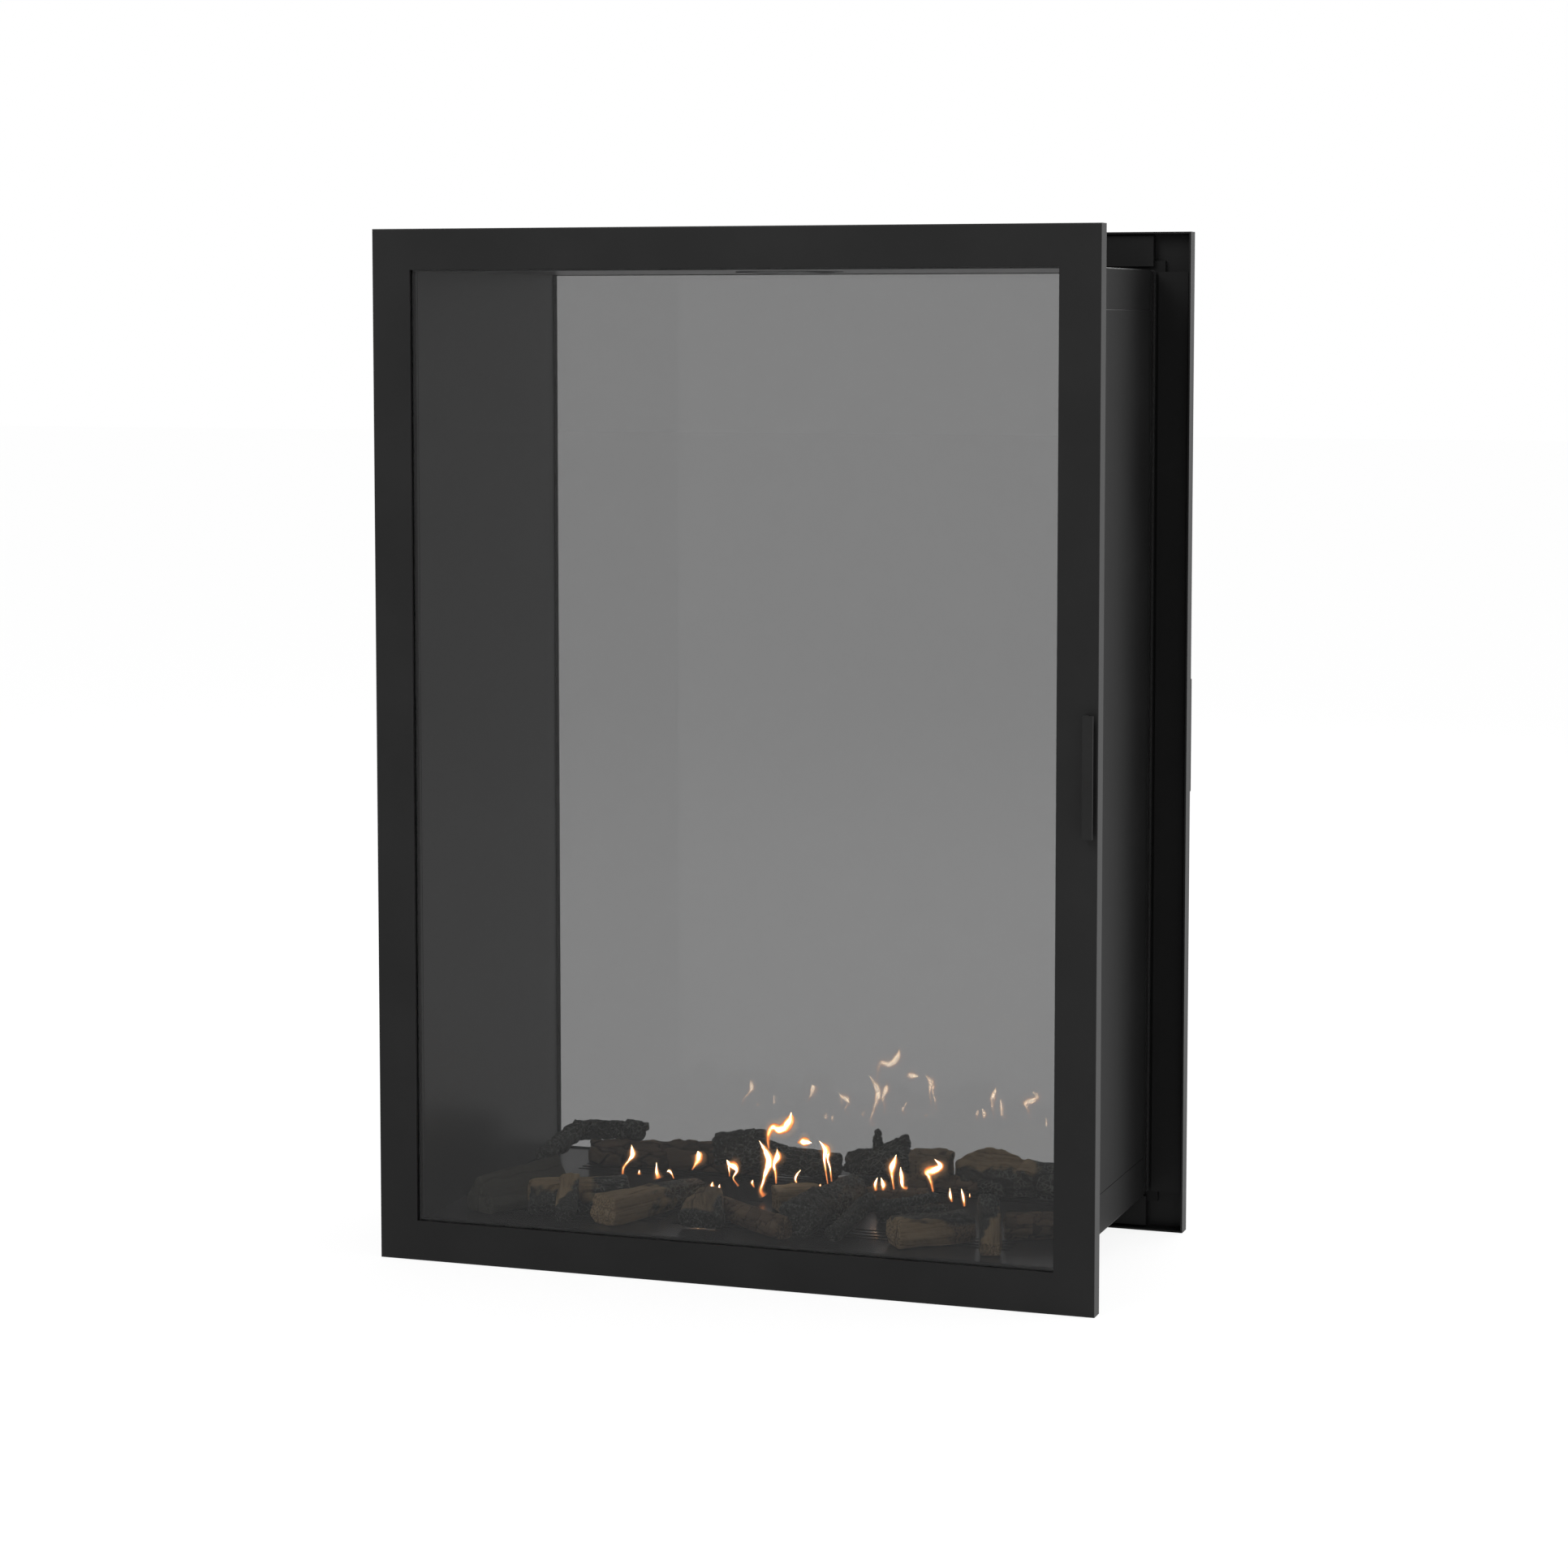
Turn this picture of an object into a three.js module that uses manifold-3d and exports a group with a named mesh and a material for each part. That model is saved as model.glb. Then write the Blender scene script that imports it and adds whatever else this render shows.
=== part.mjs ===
// Double-sided built-in gas log fire: a see-through firebox between two glazed leaves, each hung at its left
// side, with a slotted burner deck and a set of cast ceramic logs.
// Millimetres, +Z up. X runs along the leaves, and Y through the box from the front leaf to the rear one.
// The origin is the middle of the plinth tray's underside, which stands on the sill of the wall opening.

import * as THREE from "three";
import { mergeVertices } from "three/addons/utils/BufferGeometryUtils.js";
import Module from "manifold-3d";

const wasm = await Module();
wasm.setup();

// Overall sizes
const FRAME_WIDTH = 790;
const FRAME_HEIGHT = 1100;
const FACE_TO_FACE = 408; // from the front leaf's face to the rear leaf's
const BORDER = 43; // width of the metal border round each window
const FRAME_DROP = 10; // the leaves hang this far below the plinth tray's underside

// Clearances
const FIT_GAP = 0.3; // between pieces that touch
const RUN_GAP = 0.4; // between a hinge lug and its bracket
const OVERRUN = 5; // how far a cutter runs past what it cuts

// Leaf: a folded steel pan behind a face plate, open at the back
const FACE_PLATE = 3;
const LIP_DEPTH = 20;
const LIP_SHEET = 2;
const EDGE_ROUND = 1.2;

// Window pane and the four rabbeted bars that clamp it to the face plate
const PANE = 4;
const PANE_LAP = 12; // how far the pane reaches behind the border
const BAR_MARGIN = 4; // from the leaf's outer edge to the bar
const BAR_WIDTH = 33;
const BAR_THICKNESS = 6; // where the bar lies on the pane

// Pull handle: an upright angle bar near the free edge
const HANDLE_LENGTH = 124;
const HANDLE_STANDOFF = 13;
const HANDLE_WIDTH = 11;
const HANDLE_SHEET = 3;
const HANDLE_WEB = 4;
const HANDLE_EDGE = 2.3; // from the leaf's free edge to the handle
const HANDLE_CHAMFER = 0.8;

// Pivot hinges in the leaf's corners, at its left side
const PIVOT_INSET = 12; // from the leaf's side edge to the pivot
const PIVOT_DEPTH = 12; // from the leaf's face to the pivot
const PIN_RADIUS = 3;
const PIN_CLEARANCE = 0.35;
const PIN_HEAD_RADIUS = 4.5;
const PIN_HEAD_HEIGHT = 2;
const LUG_RADIUS = 7;
const LUG_THICKNESS = 3;
const BRACKET_THICKNESS = 3;
const BRACKET_NOSE = 5; // radius of the bracket's end round the pin
const BRACKET_FRONT = 3.6; // from the pivot's line to the tongue's front edge
const BRACKET_ARM = 55; // from the pivot to the far edge of the leg
const BRACKET_LEG_WIDTH = 24;
const BRACKET_LEG_REACH = 60; // how far the leg lies back on the casing

// Magnetic catch on top of the box
const CATCH_X = 150;
const CATCH_LENGTH = 40;
const CATCH_HEIGHT = 20;
const CATCH_NOSE = 14;
const CATCH_FOOT = 32;
const CATCH_LEDGE = 3;

// Casing: folded top and base channels with a plain panel between them at each side
const CASING_INSET = 41; // from the leaf's edge to the casing's outer face
const CASING_SHEET = 1;
const CASING_SETBACK = 31; // from a leaf's face to the casing's end
const CASING_FOLD = 43.5; // height of the channels' folded sides
const CASING_BEND = 2;
const SEAM = 0.6;

// Firebox lining, a sheet with a thinner throat at each end where the rope seal lies
const LINER_SHEET = 1.4;
const THROAT_SHEET = 1;
const THROAT_END = 20; // from a leaf's face to where the lining is full thickness
const SEAL_WIDTH = 3.5;
const SEAL_DEPTH = 6;
const SEAL_INSET = 41;
const SEAL_ROUND = 1;

// Deck: a burner plate between two slotted air decks
const BURNER_DECK_WIDTH = 156;
const SLOT_ROWS = 4;
const SLOT_PITCH = 12.5;
const SLOT_WIDTH = 6.5;
const SLOTS_PER_ROW = 3;
const SLOT_MARGIN = 66; // from the firebox's side to the end of a row
const SLOT_BRIDGE = 12; // metal left between two slots of a row
const SLOT_SETBACK = 12.5; // from the burner deck to the middle of the nearest row
const PORT_COUNT = 20;
const PORT_MARGIN = 10; // from the trough's end to the row of ports
const PORT_LENGTH = 15;
const PORT_WIDTH = 3;

// Burner trough under the ports, its gas pipe and the pilot
const TROUGH_MARGIN = 30; // from the tray's end to the trough's
const TROUGH_WIDTH = 40;
const TROUGH_HEIGHT = 22;
const TROUGH_SHEET = 1.2;
const TROUGH_CORNER = 6;
const TROUGH_CLEARANCE = 2;
const PIPE_RADIUS = 6;
const PIPE_BORE = 4.5;
const PIPE_OUTSIDE = 24; // how far the pipe stands out of the tray
const PIPE_INSIDE = 6; // how far the pipe enters the trough
const NUT_RADIUS = 9.5;
const NUT_LENGTH = 14;
const PILOT_Y = 28; // behind the row of ports
const PILOT_BASE_LENGTH = 34;
const PILOT_BASE_WIDTH = 14;
const PILOT_BASE_SHEET = 1.5;
const PILOT_TUBE_RADIUS = 4;
const PILOT_TUBE_HEIGHT = 20;
const PILOT_HOOD_RADIUS = 6;
const PILOT_HOOD_HEIGHT = 8;
const ELECTRODE_RADIUS = 1.5;
const ELECTRODE_HEIGHT = 26;
const ELECTRODE_OFFSET = 11;

// Plinth tray below the casing, with air inlets in its floor
const TRAY_MARGIN = 54; // from the casing's side to the tray
const TRAY_SETBACK = 28; // from the casing's end to the tray
const TRAY_SHEET = 1.2;
const TRAY_CORNER = 8;
const INLET_COUNT = 5;
const INLET_MARGIN = 35; // from the tray's end to the row of inlets
const INLET_WIDTH = 8;
const INLET_BRIDGE = 30; // metal left between two inlets
const INLET_SETBACK = 40; // from the tray's long wall to the middle of the inlets
const BASE_AIR_MARGIN = 15; // from the tray's end to the row of openings
const BASE_AIR_BRIDGE = 20;
const BASE_AIR_COUNT = 3;
const BASE_AIR_CORNER = 4;

// Balanced flue on top: a spigot for the burnt gas, inside a collar that brings air down
const COLLAR_RADIUS = 75;
const COLLAR_HEIGHT = 30;
const COLLAR_FLANGE = 14;
const SPIGOT_RADIUS = 50;
const SPIGOT_RISE = 5; // how far the spigot stands above the collar
const SPIGOT_LIP = 8;
const FLUE_SHEET = 1.5;
const FLUE_BEAD = 1.5;
const AIR_HOLE_RADIUS = 8;
const AIR_HOLE_COUNT = 8;

// Logs
const LOG_HEIGHT = 50; // a middling log's height

// Curve resolution
const ROUND_SIDES = 16;
const COLLAR_SIDES = 48;
const ARC_STEPS = 4;
const EDGE_STEPS = 3;
const WELD = 1e-4;

// Places worked out from the sizes above
const HALF_WIDTH = FRAME_WIDTH / 2;
const HALF_DEPTH = FACE_TO_FACE / 2;
const WINDOW_WIDTH = FRAME_WIDTH - 2 * BORDER;
const WINDOW_HEIGHT = FRAME_HEIGHT - 2 * BORDER;
const PANE_FRONT = FACE_PLATE + FIT_GAP;
const PANE_BACK = PANE_FRONT + PANE;
const BAR_BACK = PANE_BACK + FIT_GAP + BAR_THICKNESS;
const LINER_INSET = CASING_INSET + CASING_SHEET + FIT_GAP;
const LINER_END = PANE_BACK + FIT_GAP + SEAL_DEPTH + FIT_GAP;
const INNER_INSET = LINER_INSET + LINER_SHEET;
const INNER_HALF_WIDTH = HALF_WIDTH - INNER_INSET;
const CASING_LENGTH = FACE_TO_FACE - 2 * CASING_SETBACK;
const CASING_TOP = FRAME_HEIGHT - CASING_INSET;
const TRAY_LENGTH = FRAME_WIDTH - 2 * (CASING_INSET + TRAY_MARGIN);
const TRAY_WIDTH = CASING_LENGTH - 2 * TRAY_SETBACK;
const TROUGH_LENGTH = TRAY_LENGTH - 2 * TROUGH_MARGIN;
const BRACKET_BASE = CASING_TOP + FIT_GAP;
const LUG_BASE = BRACKET_BASE + BRACKET_THICKNESS + RUN_GAP;

// The middles of a row of equal shares of a length, with the share's size
function evenRow(length, count) {
  const pitch = length / count;
  return { pitch, middles: Array.from({ length: count }, (_, i) => (i - (count - 1) / 2) * pitch) };
}

const UNIT_X = new THREE.Vector3(1, 0, 0);
const UNIT_Y = new THREE.Vector3(0, 1, 0);
const UNIT_Z = new THREE.Vector3(0, 0, 1);

// Finishes
function paint(color, roughness, metalness) {
  return new THREE.MeshStandardMaterial({ color, roughness, metalness });
}

const frameBlack = paint("#2b2b2b", 0.45, 0.2);
const casingBlack = paint("#262626", 0.5, 0.2);
const linerBlack = paint("#333333", 0.3, 0.2);
const deckBlack = paint("#2e2e2e", 0.25, 0.3);
const plainSteel = paint("#8d8f90", 0.4, 0.9);
const sealBlack = paint("#1c1c1c", 0.95, 0);
const handleBlack = paint("#242424", 0.4, 0.3);
const paneGlass = new THREE.MeshStandardMaterial({
  color: "#9aa0a0",
  roughness: 0.05,
  metalness: 0,
  transparent: true,
  opacity: 0.35,
});
const barkBrown = paint("#5d4a3c", 0.9, 0);
const splitPale = paint("#9b7a55", 0.85, 0);
const charred = paint("#3b3d3b", 0.95, 0);

// Solids and meshes

function toSolid(geometry) {
  const bare = geometry.index ? geometry.toNonIndexed() : geometry.clone();
  bare.deleteAttribute("normal");
  bare.deleteAttribute("uv");
  const welded = mergeVertices(bare, WELD);
  return new wasm.Manifold(
    new wasm.Mesh({
      numProp: 3,
      vertProperties: new Float32Array(welded.attributes.position.array),
      triVerts: new Uint32Array(welded.index.array),
    }),
  );
}

function toGeometry(solid) {
  const { numProp, vertProperties, triVerts } = solid.getMesh();
  const positions = [];
  for (let i = 0; i < vertProperties.length; i += numProp) {
    positions.push(...vertProperties.subarray(i, i + 3));
  }
  const geometry = new THREE.BufferGeometry();
  geometry.setAttribute("position", new THREE.Float32BufferAttribute(positions, 3));
  geometry.setIndex([...triVerts]);
  const faceted = geometry.toNonIndexed();
  faceted.computeVertexNormals();
  return faceted;
}

const union = (parts) => parts.map(toSolid).reduce((whole, part) => whole.add(part));
const cut = (solid, cutters) => cutters.map(toSolid).reduce((left, cutter) => left.subtract(cutter), solid);

function mesh(name, shape, material) {
  const geometry = shape.isBufferGeometry ? shape : toGeometry(shape);
  const made = new THREE.Mesh(geometry, material);
  made.name = name;
  return made;
}

// Outlines and extrusions

function outline(points) {
  const shape = new THREE.Shape();
  points.forEach(([a, b], i) => (i ? shape.lineTo(a, b) : shape.moveTo(a, b)));
  shape.closePath();
  return shape;
}

function rectangle(low, high) {
  return outline([
    [low[0], low[1]],
    [high[0], low[1]],
    [high[0], high[1]],
    [low[0], high[1]],
  ]);
}

function roundedRectangle(centre, width, height, corner) {
  const [x, y] = centre;
  const right = x + width / 2 - corner;
  const left = x - width / 2 + corner;
  const top = y + height / 2 - corner;
  const bottom = y - height / 2 + corner;
  const shape = new THREE.Shape();
  shape.absarc(right, top, corner, 0, Math.PI / 2);
  shape.absarc(left, top, corner, Math.PI / 2, Math.PI);
  shape.absarc(left, bottom, corner, Math.PI, 1.5 * Math.PI);
  shape.absarc(right, bottom, corner, 1.5 * Math.PI, 2 * Math.PI);
  return shape;
}

function extrude(shape, length) {
  return new THREE.ExtrudeGeometry(shape, { depth: length, bevelEnabled: false, curveSegments: ARC_STEPS });
}

// The outline's two directions become Y and Z, and it runs along X.
function alongX(shape, from, to) {
  const turn = new THREE.Matrix4().makeBasis(UNIT_Y, UNIT_Z, UNIT_X);
  return extrude(shape, to - from).applyMatrix4(turn).translate(from, 0, 0);
}

// The outline's two directions become X and Z, and it runs along Y.
function alongY(shape, from, to) {
  return extrude(shape, to - from)
    .rotateX(Math.PI / 2)
    .translate(0, to, 0);
}

function alongZ(shape, from, to) {
  return extrude(shape, to - from).translate(0, 0, from);
}

function block(low, high) {
  return alongZ(rectangle(low, high), low[2], high[2]);
}

function upright(radius, from, to, x, y, sides = ROUND_SIDES) {
  return new THREE.CylinderGeometry(radius, radius, to - from, sides)
    .rotateX(Math.PI / 2)
    .translate(x, y, (from + to) / 2);
}

// Leaf, in its own frame: Y is the depth behind its face, Z runs up from its bottom edge

function leafFrame() {
  const pan = new THREE.ExtrudeGeometry(
    rectangle([-HALF_WIDTH, 0], [HALF_WIDTH, FRAME_HEIGHT]),
    {
      depth: LIP_DEPTH,
      bevelEnabled: true,
      bevelThickness: EDGE_ROUND,
      bevelSize: EDGE_ROUND,
      bevelOffset: -EDGE_ROUND,
      bevelSegments: EDGE_STEPS,
    },
  )
    .rotateX(Math.PI / 2)
    .translate(0, LIP_DEPTH + EDGE_ROUND, 0);
  const hollow = block(
    [-HALF_WIDTH + LIP_SHEET, FACE_PLATE, LIP_SHEET],
    [HALF_WIDTH - LIP_SHEET, LIP_DEPTH + OVERRUN, FRAME_HEIGHT - LIP_SHEET],
  );
  const backTrim = block(
    [-HALF_WIDTH - OVERRUN, LIP_DEPTH, -OVERRUN],
    [HALF_WIDTH + OVERRUN, LIP_DEPTH + OVERRUN, FRAME_HEIGHT + OVERRUN],
  );
  const window = block(
    [-WINDOW_WIDTH / 2, -OVERRUN, BORDER],
    [WINDOW_WIDTH / 2, FACE_PLATE + OVERRUN, FRAME_HEIGHT - BORDER],
  );
  const shell = cut(toSolid(pan), [hollow, backTrim, window]);
  const topLug = hingeLug(LUG_BASE, LUG_BASE + LUG_THICKNESS);
  const bottomLug = hingeLug(FRAME_HEIGHT - LUG_BASE - LUG_THICKNESS, FRAME_HEIGHT - LUG_BASE);
  return shell.add(topLug).add(bottomLug);
}

// A plate welded into the pan's corner, with the pivot's hole
function hingeLug(from, to) {
  const pivotX = -HALF_WIDTH + PIVOT_INSET;
  const left = -HALF_WIDTH + LIP_SHEET / 2;
  const front = FACE_PLATE / 2;
  const shape = new THREE.Shape();
  shape.moveTo(left, front);
  shape.lineTo(pivotX + LUG_RADIUS, front);
  shape.absarc(pivotX, PIVOT_DEPTH, LUG_RADIUS, 0, Math.PI / 2);
  shape.lineTo(left, PIVOT_DEPTH + LUG_RADIUS);
  const hole = upright(PIN_RADIUS + PIN_CLEARANCE, from - OVERRUN, to + OVERRUN, pivotX, PIVOT_DEPTH);
  return cut(toSolid(alongZ(shape, from, to)), [hole]);
}

function pane() {
  const low = BORDER - PANE_LAP;
  return block(
    [-HALF_WIDTH + low, PANE_FRONT, low],
    [HALF_WIDTH - low, PANE_BACK, FRAME_HEIGHT - low],
  );
}

// The bar's section: inset from the leaf's edge against depth behind its face, with the rabbet for the pane
function barSection(place) {
  const paneEdge = BORDER - PANE_LAP - FIT_GAP;
  const inner = BAR_MARGIN + BAR_WIDTH;
  return outline(
    [
      [BAR_MARGIN, PANE_FRONT],
      [paneEdge, PANE_FRONT],
      [paneEdge, PANE_BACK + FIT_GAP],
      [inner, PANE_BACK + FIT_GAP],
      [inner, BAR_BACK],
      [BAR_MARGIN, BAR_BACK],
    ].map(([inset, depth]) => place(inset, depth)),
  );
}

function handle() {
  const outer = HALF_WIDTH - HANDLE_EDGE;
  const inner = outer - HANDLE_WIDTH;
  const shape = outline([
    [inner, -FIT_GAP],
    [inner, HANDLE_CHAMFER - HANDLE_STANDOFF],
    [inner + HANDLE_CHAMFER, -HANDLE_STANDOFF],
    [outer - HANDLE_CHAMFER, -HANDLE_STANDOFF],
    [outer, HANDLE_CHAMFER - HANDLE_STANDOFF],
    [outer, HANDLE_SHEET - HANDLE_STANDOFF],
    [inner + HANDLE_WEB, HANDLE_SHEET - HANDLE_STANDOFF],
    [inner + HANDLE_WEB, -FIT_GAP],
  ]);
  const middle = FRAME_HEIGHT / 2;
  return alongZ(shape, middle - HANDLE_LENGTH / 2, middle + HANDLE_LENGTH / 2);
}

function leaf(side) {
  const group = new THREE.Group();
  const halfRun = WINDOW_WIDTH / 2;
  const top = FRAME_HEIGHT - BORDER;
  const bars = {
    top: alongX(barSection((inset, depth) => [depth, FRAME_HEIGHT - inset]), -halfRun, halfRun),
    bottom: alongX(barSection((inset, depth) => [depth, inset]), -halfRun, halfRun),
    left: alongZ(barSection((inset, depth) => [inset - HALF_WIDTH, depth]), BORDER, top),
    right: alongZ(barSection((inset, depth) => [HALF_WIDTH - inset, depth]), BORDER, top),
  };
  group.add(mesh(`${side}_leaf_frame`, leafFrame(), frameBlack));
  group.add(mesh(`${side}_pane`, pane(), paneGlass));
  for (const [place, bar] of Object.entries(bars)) {
    group.add(mesh(`${side}_glazing_bar_${place}`, bar, casingBlack));
  }
  group.add(mesh(`${side}_handle`, handle(), handleBlack));
  return group;
}

// Hardware that stays on the box at each leaf, in the leaf's frame

function ropeSeal() {
  const ring = roundedRectangle(
    [0, FRAME_HEIGHT / 2],
    FRAME_WIDTH - 2 * SEAL_INSET,
    FRAME_HEIGHT - 2 * SEAL_INSET,
    SEAL_ROUND + SEAL_WIDTH,
  );
  const inner = roundedRectangle(
    [0, FRAME_HEIGHT / 2],
    FRAME_WIDTH - 2 * (SEAL_INSET + SEAL_WIDTH),
    FRAME_HEIGHT - 2 * (SEAL_INSET + SEAL_WIDTH),
    SEAL_ROUND,
  );
  ring.holes.push(inner);
  return alongY(ring, PANE_BACK + FIT_GAP, PANE_BACK + FIT_GAP + SEAL_DEPTH);
}

// A flat arm that lies on the casing, reaches into the leaf's corner and carries the riveted pivot pin
function hingeBracket() {
  const pivotX = -HALF_WIDTH + PIVOT_INSET;
  const legRight = pivotX + BRACKET_ARM;
  const legLeft = legRight - BRACKET_LEG_WIDTH;
  const legEnd = CASING_SETBACK + BRACKET_LEG_REACH;
  const tongueBack = PIVOT_DEPTH + BRACKET_NOSE;
  const tongueFront = PIVOT_DEPTH - BRACKET_FRONT;
  const frontAngle = Math.asin(BRACKET_FRONT / BRACKET_NOSE);
  const shape = new THREE.Shape();
  shape.absarc(pivotX, PIVOT_DEPTH, BRACKET_NOSE, Math.PI / 2, 2 * Math.PI - frontAngle);
  shape.lineTo(legRight, tongueFront);
  shape.lineTo(legRight, legEnd);
  shape.lineTo(legLeft, legEnd);
  shape.lineTo(legLeft, tongueBack);
  const arm = alongZ(shape, BRACKET_BASE, BRACKET_BASE + BRACKET_THICKNESS);
  const pinTop = LUG_BASE + LUG_THICKNESS + RUN_GAP;
  const pin = upright(PIN_RADIUS, BRACKET_BASE, pinTop + PIN_HEAD_HEIGHT, pivotX, PIVOT_DEPTH);
  const head = upright(PIN_HEAD_RADIUS, pinTop, pinTop + PIN_HEAD_HEIGHT, pivotX, PIVOT_DEPTH);
  return union([arm, pin, head]);
}

function magneticCatch() {
  const foot = CASING_TOP + FIT_GAP;
  const top = foot + CATCH_HEIGHT;
  const noseBottom = top - CATCH_NOSE;
  const nose = BAR_BACK + FIT_GAP;
  const heelStart = CASING_SETBACK + CATCH_LEDGE;
  const heelEnd = heelStart + CATCH_FOOT;
  const shape = outline([
    [nose, noseBottom],
    [heelStart, noseBottom],
    [heelStart, foot],
    [heelEnd, foot],
    [heelEnd, foot + CATCH_LEDGE],
    [heelEnd - CATCH_FOOT / 2, top],
    [nose, top],
  ]);
  return alongX(shape, CATCH_X - CATCH_LENGTH / 2, CATCH_X + CATCH_LENGTH / 2);
}

function mirroredInHeight(child) {
  const group = new THREE.Group();
  group.position.z = FRAME_HEIGHT;
  group.scale.z = -1;
  group.add(child);
  return group;
}

function leafHardware(side) {
  const group = new THREE.Group();
  group.add(mesh(`${side}_rope_seal`, ropeSeal(), sealBlack));
  group.add(mesh(`${side}_hinge_bracket_top`, hingeBracket(), plainSteel));
  group.add(mirroredInHeight(mesh(`${side}_hinge_bracket_bottom`, hingeBracket(), plainSteel)));
  group.add(mesh(`${side}_magnetic_catch`, magneticCatch(), casingBlack));
  return group;
}

// The front leaf's frame is placed on its face. The rear one is its mirror image through the box's middle.
function placeAtFace(child, side) {
  const group = new THREE.Group();
  group.position.y = side === "front" ? -HALF_DEPTH : HALF_DEPTH;
  group.scale.y = side === "front" ? 1 : -1;
  group.add(child);
  return group;
}

// Casing

// A folded channel, seen from its end: its web on top, its sides folded down
function casingChannel() {
  const half = HALF_WIDTH - CASING_INSET;
  const bottom = CASING_TOP - CASING_FOLD;
  const bendX = half - CASING_BEND;
  const bendZ = CASING_TOP - CASING_BEND;
  const innerBend = CASING_BEND - CASING_SHEET;
  const shape = new THREE.Shape();
  shape.moveTo(half, bottom);
  shape.absarc(bendX, bendZ, CASING_BEND, 0, Math.PI / 2);
  shape.absarc(-bendX, bendZ, CASING_BEND, Math.PI / 2, Math.PI);
  shape.lineTo(-half, bottom);
  shape.lineTo(-half + CASING_SHEET, bottom);
  shape.absarc(-bendX, bendZ, innerBend, Math.PI, Math.PI / 2, true);
  shape.absarc(bendX, bendZ, innerBend, Math.PI / 2, 0, true);
  shape.lineTo(half - CASING_SHEET, bottom);
  return toSolid(alongY(shape, -CASING_LENGTH / 2, CASING_LENGTH / 2));
}

function spigotHole() {
  return upright(SPIGOT_RADIUS + FIT_GAP, CASING_TOP - 2 * OVERRUN, CASING_TOP + OVERRUN, 0, 0, COLLAR_SIDES);
}

function casingTop() {
  const cutters = [spigotHole()];
  const ring = (SPIGOT_RADIUS + COLLAR_RADIUS) / 2;
  for (let i = 0; i < AIR_HOLE_COUNT; i += 1) {
    const angle = ((i + 1 / 2) / AIR_HOLE_COUNT) * 2 * Math.PI;
    const x = ring * Math.cos(angle);
    const y = ring * Math.sin(angle);
    cutters.push(upright(AIR_HOLE_RADIUS, CASING_TOP - OVERRUN, CASING_TOP + OVERRUN, x, y));
  }
  return cut(casingChannel(), cutters);
}

// The base is the same channel turned over, with a slot for the burner trough and openings for air.
function casingBase() {
  const low = CASING_TOP - OVERRUN;
  const high = CASING_TOP + OVERRUN;
  const slot = roundedRectangle(
    [0, 0],
    TROUGH_LENGTH + 2 * TROUGH_CLEARANCE,
    TROUGH_WIDTH + 2 * TROUGH_CLEARANCE,
    TROUGH_CORNER + TROUGH_CLEARANCE,
  );
  const cutters = [alongZ(slot, low, high)];
  const { pitch, middles } = evenRow(TRAY_LENGTH - 2 * BASE_AIR_MARGIN, BASE_AIR_COUNT);
  const width = (SLOT_ROWS - 1) * SLOT_PITCH + SLOT_WIDTH;
  for (const y of [-slotRowsMiddle(), slotRowsMiddle()]) {
    for (const x of middles) {
      const opening = roundedRectangle([x, y], pitch - BASE_AIR_BRIDGE, width, BASE_AIR_CORNER);
      cutters.push(alongZ(opening, low, high));
    }
  }
  return cut(casingChannel(), cutters);
}

function casingSide() {
  const half = HALF_WIDTH - CASING_INSET;
  const low = CASING_INSET + CASING_FOLD + SEAM;
  return block(
    [half - CASING_SHEET, -CASING_LENGTH / 2, low],
    [half, CASING_LENGTH / 2, FRAME_HEIGHT - low],
  );
}

function turnedOver(child) {
  const group = new THREE.Group();
  group.position.z = FRAME_HEIGHT;
  group.rotation.y = Math.PI;
  group.add(child);
  return group;
}

function turnedRound(child) {
  const group = new THREE.Group();
  group.rotation.z = Math.PI;
  group.add(child);
  return group;
}

// Lining, with its throats. The outline is depth through the box against inset from the leaf's edge.
function liningSection(place) {
  const end = HALF_DEPTH - LINER_END;
  const step = HALF_DEPTH - THROAT_END;
  const throat = LINER_INSET + THROAT_SHEET;
  return outline(
    [
      [-end, LINER_INSET],
      [end, LINER_INSET],
      [end, throat],
      [step, throat],
      [step, INNER_INSET],
      [-step, INNER_INSET],
      [-step, throat],
      [-end, throat],
    ].map(([y, inset]) => place(y, inset)),
  );
}

function liningSide() {
  const section = liningSection((y, inset) => [HALF_WIDTH - inset, y]);
  return alongZ(section, LINER_INSET, FRAME_HEIGHT - LINER_INSET);
}

function liningCeiling() {
  const section = liningSection((y, inset) => [y, FRAME_HEIGHT - inset]);
  const reach = INNER_HALF_WIDTH - FIT_GAP;
  return cut(toSolid(alongX(section, -reach, reach)), [spigotHole()]);
}

// Deck

function slotRowsMiddle() {
  return BURNER_DECK_WIDTH / 2 + SLOT_SETBACK + ((SLOT_ROWS - 1) * SLOT_PITCH) / 2;
}

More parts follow.
